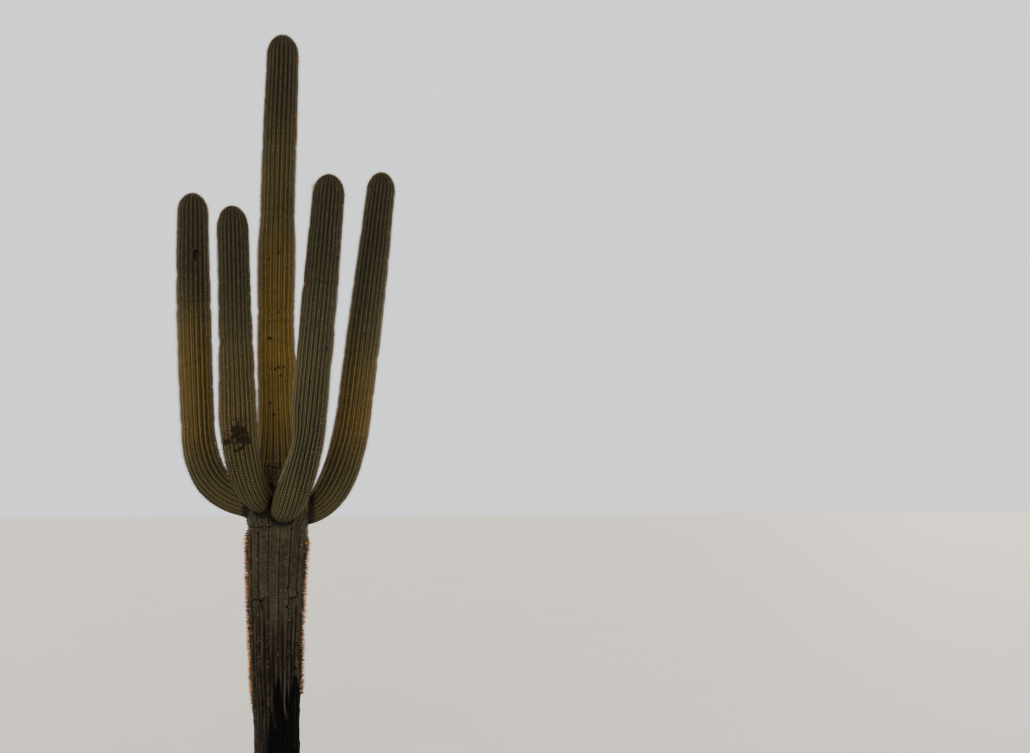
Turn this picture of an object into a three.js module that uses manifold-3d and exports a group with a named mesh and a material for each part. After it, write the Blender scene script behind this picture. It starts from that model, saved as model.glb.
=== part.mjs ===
// A saguaro cactus rooted in level ground: one ribbed trunk and four arms that turn up beside it.
// Millimetres, +Z up. The origin is the middle of the flat cut at ground level, and the front is -Y.
// The trunk is one solid from the cut to its tip. Each arm is two: an elbow that leaves the trunk's
// shoulder and bends upwards, and a nearly straight upright that stands on it.
import * as THREE from "three";
import { mergeVertices } from "three/addons/utils/BufferGeometryUtils.js";
import Module from "manifold-3d";

// Radii are measured over the crests of the ribs.
const PLANT_HEIGHT = 6000;
const LIMB_CLEARANCE = 0.4; // free space between neighbouring limbs

// The lower trunk is old wood with few broad ribs. The upper ribs begin at the crease of the collar.
const TRUNK = {
  colour: 0x5c6139,
  tipLength: 190, // of the rounded tip
  // height above the ground, radius
  profile: [
    [0, 212], // root flare
    [110, 184],
    [300, 172], // ankle, the slimmest place below the arms
    [1000, 195],
    [1500, 209],
    [1900, 229], // swelling below the collar
    [2150, 246], // shoulder that carries the arms
    [2420, 200],
    [2700, 159], // foot of the upper stem
    [3550, 142],
    [4200, 146],
    [4550, 134],
    [5000, 134],
    [5700, 125],
  ],
  // height above the ground, sideways place of the axis
  lean: [
    [0, 0],
    [1600, -52],
    [2150, -48],
    [3400, -102],
    [4400, -119],
    [PLANT_HEIGHT, -111],
  ],
  // height above the ground, depth of the grooves as a share of the radius
  grooves: [
    [0, 0.02],
    [500, 0.06],
    [1850, 0.07],
    [2150, 0.04],
    [2700, 0.1],
    [PLANT_HEIGHT, 0.13],
  ],
  collar: { height: 1983, halfHeight: 30, depth: 9 },
  lower: {
    ribs: { count: 17, facing: -84.7 },
    zones: [
      [0, 300, 3],
      [300, 1900, 7],
      [1900, 1990, 3],
    ],
  },
  upper: {
    ribs: { count: 21, facing: -94 },
    zones: [
      [1976, 2120, 3],
      [2120, 2720, 7],
      [2720, 5600, 12],
    ],
    tipRings: 7,
  },
};

// How each arm leaves the shoulder and where it goes. Azimuths run from +X towards +Y, and the
// ribs face the azimuth of one crest.
const ARMS = {
  right_inner_arm: {
    colour: 0x626a40,
    ribs: { count: 23, facing: -90 },
    root: { azimuth: 277, rise: -14, height: 2164 },
    pull: { root: 330, upright: 155 }, // how strongly each end holds the bend straight
    elbowTop: [149, -420, 2720],
    tip: [277, -440, 4702],
    bow: 5, // sideways swell of the upright
    radii: { neck: 94, elbow: 132, waist: 134, middle: 130, upper: 119 },
  },
  left_inner_arm: {
    colour: 0x666b3d,
    ribs: { count: 22, facing: -87 },
    root: { azimuth: 241, rise: -13, height: 2228 },
    pull: { root: 250, upright: 150 },
    elbowTop: [-361, -385, 2820],
    tip: [-452, -400, 4415],
    bow: 0,
    radii: { neck: 104, elbow: 124, waist: 136, middle: 118, upper: 112 },
  },
  right_outer_arm: {
    colour: 0x6f7142,
    ribs: { count: 21, facing: -94 },
    root: { azimuth: 13, rise: -14, height: 2133 },
    pull: { root: 210, upright: 150 },
    elbowTop: [515, 80, 2800],
    tip: [732, 90, 4918],
    bow: 6,
    radii: { neck: 104, elbow: 142, waist: 139, middle: 134, upper: 115 },
  },
  left_outer_arm: {
    colour: 0x6c7040,
    ribs: { count: 20, facing: -75 },
    root: { azimuth: 171, rise: 12, height: 2112 },
    pull: { root: 250, upright: 385 },
    elbowTop: [-684, 95, 2760],
    tip: [-787, 100, 4640],
    bow: -13,
    radii: { neck: 112, elbow: 131, waist: 125, middle: 129, upper: 117 },
  },
};

const ARM = {
  rootInset: 120, // how far inside the trunk's skin the root starts, before it is cut to the trunk
  grooves: 0.12, // depth as a share of the radius
  neckGrooves: 0.05,
  tipLength: 175,
  elbowRings: 12,
  uprightRings: 10,
  tipRings: 5,
};

// A woodpecker's hole in the front of the left outer arm.
const NEST_HOLE = { x: -735, height: 4113, halfWidth: 25, halfHeight: 52, depth: 62, sides: 16 };

const TIP_ROUNDNESS = 2.15; // 2 is an ellipse, more is blunter

const wasm = await Module();
wasm.setup();

/** A smooth function through [place, value] pairs, level beyond its ends. */
function smoothThrough(stations) {
  const places = stations.map(([place]) => place);
  const values = stations.map(([, value]) => value);
  const curve = new THREE.CubicInterpolant(places, values, 1);
  return (place) => curve.evaluate(place)[0];
}

/** How much of its radius a limb has left at this distance from its tip. */
function tipShare(fromTip, tipLength) {
  if (fromTip >= tipLength) return 1;
  const along = 1 - fromTip / tipLength;
  return Math.sqrt(Math.max(0, 1 - along ** TIP_ROUNDNESS));
}

/** Depth across a rib, from 0 on its rounded crest to 1 in the sharp groove beside it. */
function grooveAt(angle, count) {
  return 1 - Math.abs(Math.cos((angle * count) / 2));
}

/** A closed ribbed tube on a stack of rings. The two functions give a ring's groove depth as a
 * share of its radius, and the place of a vertex from its ring, angle and distance out. */
function ribbedTube(radii, columnsPerRib, ribs, depthAt, grow, placeVertex) {
  const profile = radii.map((radius, ring) => new THREE.Vector2(radius, ring));
  profile.unshift(new THREE.Vector2(0, 0));
  if (radii.at(-1) > 0) profile.push(new THREE.Vector2(0, radii.length - 1));
  const tube = new THREE.LatheGeometry(profile, ribs.count * columnsPerRib);
  const position = tube.getAttribute("position");
  for (let i = 0; i < position.count; i++) {
    const ring = Math.round(position.getY(i));
    const across = new THREE.Vector2(position.getZ(i), position.getX(i));
    const radius = across.length();
    const angle = radius > 0 ? across.angle() : 0;
    const out = radius > 0 ? radius * (1 - depthAt(ring) * grooveAt(angle, ribs.count)) + grow : 0;
    const turned = angle + THREE.MathUtils.degToRad(ribs.facing);
    const vertex = placeVertex(ring, turned, out);
    position.setXYZ(i, vertex.x, vertex.y, vertex.z);
  }
  return solidOf(tube);
}

/** The same geometry as a manifold-3d solid. */
function solidOf(geometry) {
  const bare = geometry.clone();
  bare.deleteAttribute("normal");
  bare.deleteAttribute("uv");
  const merged = mergeVertices(bare, 1e-3);
  return new wasm.Manifold(
    new wasm.Mesh({
      numProp: 3,
      vertProperties: merged.getAttribute("position").array,
      triVerts: new Uint32Array(merged.index.array),
    }),
  );
}

/** A named three.js mesh of a manifold-3d solid. */
function meshOf(solid, name, colour) {
  const { vertProperties, triVerts } = solid.getMesh();
  const geometry = new THREE.BufferGeometry();
  geometry.setAttribute("position", new THREE.BufferAttribute(vertProperties, 3));
  geometry.setIndex(new THREE.BufferAttribute(triVerts, 1));
  geometry.computeVertexNormals();
  const skin = new THREE.MeshStandardMaterial({ color: colour, roughness: 0.8, metalness: 0 });
  const mesh = new THREE.Mesh(geometry, skin);
  mesh.name = name;
  return mesh;
}

/** Heights of a growth's rings: even in each zone, and closer and closer towards a rounded tip. */
function ringHeights(growth) {
  const heights = [growth.zones[0][0]];
  for (const [start, end, rings] of growth.zones) {
    for (let i = 1; i <= rings; i++) heights.push(start + ((end - start) * i) / rings);
  }
  const start = heights.at(-1);
  const tipRings = growth.tipRings ?? 0;
  for (let i = 1; i <= tipRings; i++) {
    heights.push(start + (PLANT_HEIGHT - start) * Math.sin((i / tipRings) * (Math.PI / 2)));
  }
  return heights;
}

/** One growth of the trunk, with grow added to its radius all round. */
function trunkGrowth(growth, grow) {
  const profileAt = smoothThrough(TRUNK.profile);
  const leanAt = smoothThrough(TRUNK.lean);
  const depthAt = smoothThrough(TRUNK.grooves);
  const { height, halfHeight, depth } = TRUNK.collar;
  const creaseAt = (z) => depth * Math.exp(-(((z - height) / halfHeight) ** 2));
  const heights = ringHeights(growth);
  const radii = heights.map(
    (z) => (profileAt(z) - creaseAt(z)) * tipShare(PLANT_HEIGHT - z, TRUNK.tipLength),
  );
  const depthOf = (ring) => depthAt(heights[ring]);
  return ribbedTube(radii, 4, growth.ribs, depthOf, grow, (ring, angle, out) => {
    const z = heights[ring];
    return new THREE.Vector3(leanAt(z) + out * Math.cos(angle), out * Math.sin(angle), z);
  });
}

/** The trunk, with grow added to its radius all round. */
function trunkSolid(grow = 0) {
  return trunkGrowth(TRUNK.lower, grow).add(trunkGrowth(TRUNK.upper, grow));
}

/** An arm's centreline from inside the trunk to its tip: a bend, then a slightly bowed upright. */
function armCentreline(arm) {
  const azimuth = THREE.MathUtils.degToRad(arm.root.azimuth);
  const rise = THREE.MathUtils.degToRad(arm.root.rise);
  const outward = new THREE.Vector3(
    Math.cos(azimuth) * Math.cos(rise),
    Math.sin(azimuth) * Math.cos(rise),
    Math.sin(rise),
  );
  const root = new THREE.Vector3(smoothThrough(TRUNK.lean)(arm.root.height), 0, arm.root.height);
  root.addScaledVector(outward, smoothThrough(TRUNK.profile)(arm.root.height) - ARM.rootInset);
  const elbowTop = new THREE.Vector3(...arm.elbowTop);
  const tip = new THREE.Vector3(...arm.tip);
  const middle = elbowTop.clone().lerp(tip, 0.5);
  middle.x += arm.bow * 2;
  const upward = middle.clone().sub(elbowTop).normalize();
  const seat = elbowTop.clone().addScaledVector(upward, -LIMB_CLEARANCE);
  const bend = new THREE.CubicBezierCurve3(
    root,
    root.clone().addScaledVector(outward, ARM.rootInset + arm.pull.root),
    seat.clone().addScaledVector(upward, -arm.pull.upright),
    seat,
  );
  const upright = new THREE.QuadraticBezierCurve3(elbowTop, middle, tip);
  return { bend, upright };
}

/** One stretch of an arm as a solid. Its rings are places from 0 to 1 along the curve. */
function armStretch(arm, curve, rings, radiusAt, depthAt, grow) {
  const azimuth = THREE.MathUtils.degToRad(arm.root.azimuth);
  const sideways = new THREE.Vector3(-Math.sin(azimuth), Math.cos(azimuth), 0);
  const frames = rings.map((place) => {
    const along = curve.getTangentAt(place);
    const side = sideways.clone().addScaledVector(along, -sideways.dot(along)).normalize();
    return { centre: curve.getPointAt(place), side, outer: side.clone().cross(along) };
  });
  const depthOf = (ring) => depthAt(rings[ring]);
  return ribbedTube(rings.map(radiusAt), 2, arm.ribs, depthOf, grow, (ring, angle, out) => {
    const { centre, side, outer } = frames[ring];
    return centre
      .clone()
      .addScaledVector(outer, out * Math.cos(angle - azimuth))
      .addScaledVector(side, out * Math.sin(angle - azimuth));
  });
}

/** The bend of an arm, whose root still reaches into the trunk, with grow added to its radius. */
function elbowSolid(arm, grow = 0) {
  const { bend } = armCentreline(arm);
  const { neck, elbow, waist } = arm.radii;
  const neckEnd = ARM.rootInset / bend.getLength();
  const radiusAt = smoothThrough([
    [0, neck],
    [neckEnd, neck],
    [neckEnd + 0.2, (neck + 2 * elbow) / 3],
    [neckEnd + 0.38, elbow],
    [1, waist],
  ]);
  const depthAt = smoothThrough([
    [0, ARM.neckGrooves],
    [neckEnd, ARM.neckGrooves],
    [0.6, ARM.grooves],
  ]);
  const rings = Array.from({ length: ARM.elbowRings + 1 }, (_, i) => i / ARM.elbowRings);
  return armStretch(arm, bend, rings, radiusAt, depthAt, grow);
}

/** The upright of an arm, with its rounded tip. */
function uprightSolid(arm) {
  const { upright } = armCentreline(arm);
  const { waist, middle, upper } = arm.radii;
  const length = upright.getLength();
  const tipStart = 1 - ARM.tipLength / length;
  const bodyRadius = smoothThrough([
    [0, waist],
    [0.5, middle],
    [tipStart, upper],
  ]);
  const radiusAt = (place) =>
    place >= 1 ? 0 : bodyRadius(place) * tipShare((1 - place) * length, ARM.tipLength);
  const rings = Array.from(
    { length: ARM.uprightRings + 1 },
    (_, i) => (tipStart * i) / ARM.uprightRings,
  );
  for (let i = 1; i <= ARM.tipRings; i++) {
    rings.push(tipStart + (1 - tipStart) * Math.sin((i / ARM.tipRings) * (Math.PI / 2)));
  }
  return armStretch(arm, upright, rings, radiusAt, () => ARM.grooves, 0);
}

/** The space of the nest hole: an oval plug that reaches in from the front of its arm. */
function nestHoleSolid(arm) {
  const { x, height, halfWidth, halfHeight, depth, sides } = NEST_HOLE;
  const front = arm.tip[1] - arm.radii.middle;
  const plug = new THREE.CylinderGeometry(1, 1, depth * 2, sides);
  plug.scale(halfWidth, 1, halfHeight);
  plug.translate(x, front, height);
  return solidOf(plug);
}

const group = new THREE.Group();
group.add(meshOf(trunkSolid(), "trunk", TRUNK.colour));

// Each elbow is cut clear of the trunk and of the elbows placed before it.
const seats = [trunkSolid(LIMB_CLEARANCE)];
for (const [name, arm] of Object.entries(ARMS)) {
  const elbow = seats.reduce((rest, seat) => rest.subtract(seat), elbowSolid(arm));
  seats.push(elbowSolid(arm, LIMB_CLEARANCE));
  group.add(meshOf(elbow, `${name}_elbow`, arm.colour));
  let upright = uprightSolid(arm);
  if (name === "left_outer_arm") upright = upright.subtract(nestHoleSolid(arm));
  group.add(meshOf(upright, `${name}_upright`, arm.colour));
}

export default group;
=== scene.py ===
"""The looks of a saguaro cactus: ribbed skins with their areoles, spines, scars and a nest hole.

Metres, +Z up. The origin is the middle of the flat cut at ground level, and the front is -Y.
The trunk and the arms grow by the same rule as the solids they stand for, carried to a finer
relief. A place along a limb is a distance from its start, and an angle round it is counted from
the crest of one rib, so the columns of a skin run along the ribs.
"""

import logging
import math
from dataclasses import dataclass, field, replace
from enum import Enum
from typing import Any

import bmesh
import bpy
import numpy as np
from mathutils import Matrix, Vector


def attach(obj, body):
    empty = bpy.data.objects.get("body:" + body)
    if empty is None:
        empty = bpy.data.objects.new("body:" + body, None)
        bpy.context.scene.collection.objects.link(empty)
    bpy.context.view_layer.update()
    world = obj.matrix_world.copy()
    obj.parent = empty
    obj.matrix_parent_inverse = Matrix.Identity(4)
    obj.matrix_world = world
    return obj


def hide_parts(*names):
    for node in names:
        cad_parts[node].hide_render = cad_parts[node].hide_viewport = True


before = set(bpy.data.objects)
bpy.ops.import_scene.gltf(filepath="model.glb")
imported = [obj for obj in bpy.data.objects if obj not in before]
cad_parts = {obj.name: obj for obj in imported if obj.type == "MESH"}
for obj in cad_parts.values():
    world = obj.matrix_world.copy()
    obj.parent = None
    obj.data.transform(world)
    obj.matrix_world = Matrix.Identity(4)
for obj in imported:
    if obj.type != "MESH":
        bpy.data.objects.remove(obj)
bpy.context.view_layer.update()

LOG = logging.getLogger("saguaro")
MOST_TRIANGLES = 190_000  # in one piece
FAR = 9.0  # a distance past anything on the plant
LIMBS_PART_AT = 3.65  # above this height no limb shades or touches another
POINTS_AT_ONCE = 3000  # measured against a limb in one go, to spare memory

TIP_ROUNDNESS = 2.15  # 2 is an ellipse, more is blunter
RIB_SHARPNESS = 1.35  # more makes broader crests and narrower grooves
SWELLING = 0.010  # the skin's slow unevenness, as a share of the radius
LUMP_HEIGHT = 0.0011
RIB_WANDER = math.radians(0.9)
WAIST_STRENGTH = 1.4  # on what a waist states
WELD_DISTANCE = 2e-5

# Pairs that are eased between: where something starts, and where it is complete.
YOUNG_SKIN = (1.15, 0.55)  # distances from a tip
TIP_SKIN = (0.17, 0.03)
CLOSE_AREOLES = (0.22, 0.05)
UNDERSIDE = (-0.15, -0.90)  # the z of directions out of the skin
SHADED_SPINES = (-0.10, -0.55)
LIMB_SIDE = (0.42, 0.10)  # the y of those directions, with no sign
BEHIND = (0.1, 0.4)  # and with one

TOUCHING = 0.006  # the gap between two limbs at which the painted shade in the crease is darkest
UNDERSIDE_SHADE = 0.36
CROWDING = 0.4  # how much closer areoles stand at a tip

Colour = tuple[float, float, float, float]


def paint(red: int, green: int, blue: int) -> Colour:
    """A colour mixed on a screen, as the linear values that a shader takes.

    Args:
        red: Red from 0 to 255.
        green: Green from 0 to 255.
        blue: Blue from 0 to 255.

    Returns:
        The linear colour, opaque.
    """
    shares = (red / 255, green / 255, blue / 255)
    linear = [((c + 0.055) / 1.055) ** 2.4 if c > 0.04 else c / 12.92 for c in shares]
    return (linear[0], linear[1], linear[2], 1.0)


def ease(low: float, high: float, value: np.ndarray) -> np.ndarray:
    """Rises smoothly from 0 at low to 1 at high, or falls where low is the larger.

    Args:
        low: The value that gives 0.
        high: The value that gives 1.
        value: The values to ease.

    Returns:
        Shares from 0 to 1.
    """
    share = np.clip((value - low) / (high - low), 0, 1)
    return share * share * (3 - 2 * share)


def unit(vectors: np.ndarray) -> np.ndarray:
    """The same directions, each one long."""
    return vectors / np.maximum(np.linalg.norm(vectors, axis=1), 1e-12)[:, None]


def report(piece: bpy.types.Object) -> None:
    """Logs a piece and how many triangles it has.

    Args:
        piece: The finished piece.
    """
    piece.data.calc_loop_triangles()
    LOG.info("%s: %d triangles", piece.name, len(piece.data.loop_triangles))


class SmoothCurve:
    """A smooth function through stations, level beyond its ends."""

    def __init__(self, *stations: tuple[float, float]) -> None:
        """Keeps the stations.

        Args:
            stations: Pairs of a place and the value there, in rising order of place.
        """
        self.places = np.array([place for place, _ in stations], float)
        self.values = np.array([value for _, value in stations], float)

    def __call__(self, place: np.ndarray) -> np.ndarray:
        """Reads the curve.

        Args:
            place: The places to read it at.

        Returns:
            Its values there.
        """
        t, v = self.places, self.values
        last = len(t) - 1
        place = np.clip(np.asarray(place, float), t[0], t[-1])
        right = np.clip(np.searchsorted(t, place, side="right"), 1, last)
        left = right - 1
        before = np.where(left > 0, left - 1, right)
        after = np.where(right < last, right + 1, left)
        half = (t[right] - t[left]) / 2
        pull = half / (t[left] - t[before])
        push = half / (t[after] - t[right])
        p = (place - t[left]) / (t[right] - t[left])
        return (
            v[before] * (-pull * p**3 + 2 * pull * p**2 - pull * p)
            + v[left] * ((1 + pull) * p**3 - (1.5 + 2 * pull) * p**2 + (pull - 0.5) * p + 1)
            + v[right] * (-(1 + push) * p**3 + (1.5 + push) * p**2 + 0.5 * p)
            + v[after] * (push * p**3 - push * p**2)
        )


class Ripple:
    """A smooth seeded unevenness round and along a limb, mostly from -1 to 1."""

    def __init__(self, seed: int, around: int, along: float, waves: int = 14) -> None:
        """Draws the waves.

        Args:
            seed: What the draw starts from.
            around: The most waves round the limb.
            along: The most waves in a metre along it.
            waves: How many waves are laid over each other.
        """
        draw = np.random.default_rng(seed)
        self.around = draw.integers(-around, around + 1, waves)
        self.along = draw.uniform(0.25, 1, waves) * along * math.tau
        self.phase = draw.uniform(0, math.tau, waves)

    def __call__(self, along: np.ndarray, angle: np.ndarray) -> np.ndarray:
        """Reads the unevenness.

        Args:
            along: Places along the limb.
            angle: Angles round it, as many.

        Returns:
            The unevenness at each.
        """
        total = np.zeros(np.broadcast(along, angle).shape)
        for turns, pace, phase in zip(self.around, self.along, self.phase):
            total += np.cos(turns * angle + pace * along + phase)
        return total * math.sqrt(0.7 / len(self.phase))


class Grain:
    """A smooth seeded unevenness in space, mostly from -1 to 1."""

    def __init__(self, seed: int, size: float, waves: int = 20) -> None:
        """Draws the waves.

        Args:
            seed: What the draw starts from.
            size: About how far one swell is from the next.
            waves: How many waves are laid over each other.
        """
        draw = np.random.default_rng(seed)
        heading = draw.normal(size=(waves, 3))
        heading /= np.linalg.norm(heading, axis=1)[:, None]
        self.pace = heading * (math.tau / size) * draw.uniform(0.5, 1.6, (waves, 1))
        self.phase = draw.uniform(0, math.tau, waves)

    def __call__(self, points: np.ndarray) -> np.ndarray:
        """Reads the unevenness.

        Args:
            points: Points in space, one to a row.

        Returns:
            The unevenness at each.
        """
        waves = np.cos(points @ self.pace.T + self.phase)
        return waves.sum(axis=1) * math.sqrt(0.7 / len(self.phase))


COARSE_EDGE = Grain(9, 0.055)  # these two fray the edges of blemishes
FINE_EDGE = Grain(10, 0.019)
SCAB_GRAIN = Grain(5, 0.022)


class Mark(Enum):
    """The ways in which the skin is changed in places. Each value names a mask on the skins."""

    SCAB = "scab"  # dark brown cork over an old wound
    GNARL = "gnarl"  # healed bark in folds
    TAN = "tan"  # smooth, yellowed; its mask also carries painted highlights beside two crests
    RUST = "rust"  # red-brown mottle
    PIT = "pit"  # a small dark scar


@dataclass(frozen=True)
class Blemish:
    """A patch of changed skin."""

    mark: Mark
    centre: tuple[float, float, float]
    reach: tuple[float, float, float]  # half its size along each axis
    ragged: float  # how far its edge is frayed, as a share of its reach
    softness: float  # how wide its edge is

    def cover(self, points: np.ndarray) -> np.ndarray:
        """How far the patch covers each point.

        Args:
            points: Points on the skin, one to a row.

        Returns:
            Shares from 0 to 1.
        """
        away = np.linalg.norm((points - self.centre) / self.reach, axis=1)
        near = away < 2
        away[near] += self.ragged * COARSE_EDGE(points[near])
        away[near] += 0.5 * self.ragged * FINE_EDGE(points[near])
        return ease(1 + self.softness / 2, 1 - self.softness / 2, away)


BLEMISHES = (
    Blemish(Mark.SCAB, (-0.345, -0.50, 2.700), (0.058, 0.11, 0.056), 0.35, 1.3),
    Blemish(Mark.SCAB, (-0.318, -0.50, 2.655), (0.048, 0.11, 0.050), 0.35, 1.2),
    Blemish(Mark.SCAB, (-0.292, -0.50, 2.628), (0.040, 0.11, 0.026), 0.45, 1.2),
    Blemish(Mark.SCAB, (-0.425, -0.475, 2.612), (0.040, 0.11, 0.022), 0.7, 1.8),
    Blemish(Mark.SCAB, (-0.366, -0.49, 2.562), (0.020, 0.11, 0.014), 0.4, 0.9),
    Blemish(Mark.SCAB, (-0.330, -0.49, 2.578), (0.013, 0.11, 0.012), 0.4, 0.9),
    Blemish(Mark.RUST, (-0.415, -0.46, 2.640), (0.070, 0.12, 0.060), 0.4, 1.0),
    Blemish(Mark.RUST, (-0.345, -0.50, 2.775), (0.050, 0.11, 0.030), 0.4, 1.0),
    Blemish(Mark.GNARL, (-0.108, -0.20, 2.410), (0.088, 0.11, 0.095), 0.3, 0.5),
    Blemish(Mark.RUST, (-0.085, -0.20, 2.384), (0.034, 0.11, 0.030), 0.2, 0.5),
    Blemish(Mark.RUST, (0.135, -0.14, 1.74), (0.075, 0.16, 0.31), 0.4, 0.8),
    Blemish(Mark.TAN, (-0.01, -0.20, 1.95), (0.075, 0.12, 0.07), 0.3, 1.2),
) + tuple(
    Blemish(Mark.PIT, centre, (width, 0.05, height), 0.1, 0.7)
    for centre, width, height in (
        ((-0.079, -0.120, 5.249), 0.009, 0.009),  # on the stem, from its tip down
        ((-0.173, -0.128, 4.318), 0.008, 0.010),
        ((-0.099, -0.134, 4.143), 0.011, 0.008),
        ((-0.175, -0.128, 4.091), 0.013, 0.010),
        ((-0.090, -0.133, 3.665), 0.008, 0.009),
        ((-0.149, -0.132, 3.455), 0.020, 0.008),
        ((-0.036, -0.123, 3.231), 0.014, 0.010),
        ((-0.074, -0.135, 3.223), 0.012, 0.010),
        ((-0.130, -0.127, 3.221), 0.008, 0.008),
        ((-0.103, -0.141, 3.209), 0.009, 0.014),
        ((-0.060, -0.138, 3.163), 0.008, 0.010),
        ((-0.135, -0.136, 2.945), 0.009, 0.010),
        ((-0.103, -0.137, 2.856), 0.009, 0.012),
        ((-0.468, -0.485, 4.347), 0.008, 0.012),  # on the left inner arm
        ((-0.466, -0.495, 4.314), 0.008, 0.010),
        ((-0.474, -0.491, 4.099), 0.010, 0.008),
        ((-0.388, -0.486, 4.120), 0.009, 0.009),
        ((-0.366, -0.476, 4.093), 0.011, 0.009),
        ((0.278, -0.529, 3.331), 0.009, 0.022),  # on the right inner arm
        ((0.162, -0.546, 3.073), 0.010, 0.009),
        ((0.082, -0.513, 2.881), 0.010, 0.012),
    )
)

KNOT = (-0.085, -0.19, 2.384)  # the eye of the healed scar at the stem's foot
KNOT_RADIUS = 0.045
KNOT_RING = 0.030  # from one fold round it to the next

GIRTH_PER_DEGREE = math.radians(0.21)  # of the lower trunk, which is about 0.21 m in radius


@dataclass(frozen=True)
class Crack:
    """A split or fold in the trunk's skin, along a line of azimuths and heights."""

    line: tuple[tuple[float, float], ...]
    width: float = 0.0075
    depth: float = 0.011

    def cover(self, azimuth: np.ndarray, height: np.ndarray) -> np.ndarray:
        """How far the crack opens each point.

        Args:
            azimuth: Directions from the trunk's axis, in degrees.
            height: Heights above the ground.

        Returns:
            Shares from 0 to 1, with 1 on the line.
        """
        nearest = np.full(azimuth.shape, FAR)
        for (start, low), (end, high) in zip(self.line, self.line[1:]):
            across = ((azimuth - start + 180) % 360 - 180) * GIRTH_PER_DEGREE
            up = height - low
            run, climb = (end - start) * GIRTH_PER_DEGREE, high - low
            share = np.clip((across * run + up * climb) / (run**2 + climb**2), 0, 1)
            nearest = np.minimum(nearest, np.hypot(across - share * run, up - share * climb))
        return np.exp(-((nearest / self.width) ** 2))


CRACKS = (
    Crack(
        ((-166, 1.392), (-158, 1.425), (-146, 1.438), (-132, 1.441), (-121, 1.436), (-116, 1.452))
    ),
    Crack(((-125, 1.436), (-122, 1.400), (-121, 1.372)), 0.010, 0.014),
    Crack(((-65, 1.540), (-62, 1.465), (-52, 1.440), (-44, 1.452), (-37, 1.446), (-27, 1.490))),
    Crack(((-67, 1.389), (-65, 1.384)), 0.010),
    Crack(((-148, 1.989), (-144, 1.990)), 0.006, 0.004),
    Crack(((-139, 1.984), (-130, 1.986), (-126, 1.981), (-121, 1.992)), 0.006, 0.006),
    Crack(((-113, 1.993), (-108, 1.986), (-101, 1.998)), 0.006, 0.006),
    Crack(((-62, 1.968), (-61, 1.985)), 0.009),
)

PAINTED_CREST_HIGHLIGHTS = (  # painted highlights: pale lines beside two crests
    Crack(((-58.4, 2.04), (-58.4, 1.75), (-58.8, 1.46)), 0.0042),
    Crack(((-131.6, 1.99), (-131.6, 1.80), (-132.0, 1.50)), 0.0036),
)

UNBURNT = (  # strips of bark that the fire left
    Crack(((-106, 0.90), (-100, 0.68), (-95, 0.50)), 0.017),
    Crack(((-80, 0.88), (-72, 0.70), (-65, 0.56)), 0.012),
    Crack(((-140, 0.90), (-128, 0.60), (-120, 0.33)), 0.024),
    Crack(((60, 0.80), (66, 0.50), (70, 0.22)), 0.020),
    Crack(((28, 0.90), (35, 0.60), (38, 0.40)), 0.014),
)


@dataclass(frozen=True)
class Rings:
    """Where rings round a limb are centred, and the two directions that each lies in."""

    centre: np.ndarray
    outer: np.ndarray
    side: np.ndarray


@dataclass(frozen=True)
class Waist:
    """A ring where a limb stood still between seasons and stayed slimmer, or swelled."""

    below_tip: float
    left: float  # how far it is drawn in, seen from the front, or less than 0 for a swelling
    right: float
    half_height: float = 0.024


@dataclass(frozen=True)
class NestHole:
    """A woodpecker's oval hole, with a healed lip and a chamber behind it."""

    x: float = -0.735
    height: float = 4.113
    half_width: float = 0.0252
    half_height: float = 0.052
    squareness: float = 2.6  # 2 is an ellipse
    foot_width: float = 0.86  # of its lower end, beside its upper end
    arm_middle: float = 0.06  # the y behind which nothing is cut
    lip: float = -0.004  # where its healed edge lies, below the outline over the crests
    chamber: tuple[tuple[float, float], ...] = (  # how deep each step sinks, and how it widens
        (0.004, 0.94), (0.007, 0.98), (0.012, 1.04), (0.010, 0.9), (0.004, 0.6)
    )

    def reach(self, points: np.ndarray) -> np.ndarray:
        """How far points lie from the hole's middle, seen from the front, with 1 on its edge.

        Args:
            points: Points in space, one to a row.

        Returns:
            The distances, and FAR behind the middle of the arm.
        """
        up = (points[:, 2] - self.height) / self.half_height
        taper = self.foot_width + (1 - self.foot_width) * ease(-0.5, 0.1, up)
        across = (points[:, 0] - self.x) / (self.half_width * taper)
        power = self.squareness
        away = (np.abs(across) ** power + np.abs(up) ** power) ** (1 / power)
        return np.where(points[:, 1] < self.arm_middle, away, FAR)

    def open(self, bm: bmesh.types.BMesh) -> None:
        """Cuts the oval out of a closed skin and draws its edge inwards as a chamber.

        Args:
            bm: The skin. Faces of the chamber get its second material.
        """
        middles = np.array([face.calc_center_median() for face in bm.faces])
        gone = [face for face, away in zip(bm.faces, self.reach(middles)) if away < 1]
        bmesh.ops.delete(bm, geom=gone, context="FACES")
        rim = [edge for edge in bm.edges if edge.is_boundary]
        edge_verts = {vert for edge in rim for vert in edge.verts}
        for vert in edge_verts:
            away = self.reach(np.array([vert.co]))[0]
            vert.co.x = self.x + (vert.co.x - self.x) / away
            vert.co.z = self.height + (vert.co.z - self.height) / away
        middle = Vector((self.x, 0, self.height))
        for sink, widen in self.chamber:
            drawn = bmesh.ops.extrude_edge_only(bm, edges=rim)["geom"]
            verts = [item for item in drawn if isinstance(item, bmesh.types.BMVert)]
            rim = [item for item in drawn if isinstance(item, bmesh.types.BMEdge)]
            for face in drawn:
                if isinstance(face, bmesh.types.BMFace):
                    face.material_index = 1
            for vert in verts:
                offset = vert.co - middle
                vert.co.x = middle.x + offset.x * widen
                vert.co.z = middle.z + offset.z * widen
                vert.co.y += sink
        floor = bmesh.ops.contextual_create(bm, geom=rim)["faces"]
        for face in floor:
            face.material_index = 1
        bmesh.ops.recalc_face_normals(bm, faces=bm.faces)


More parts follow.
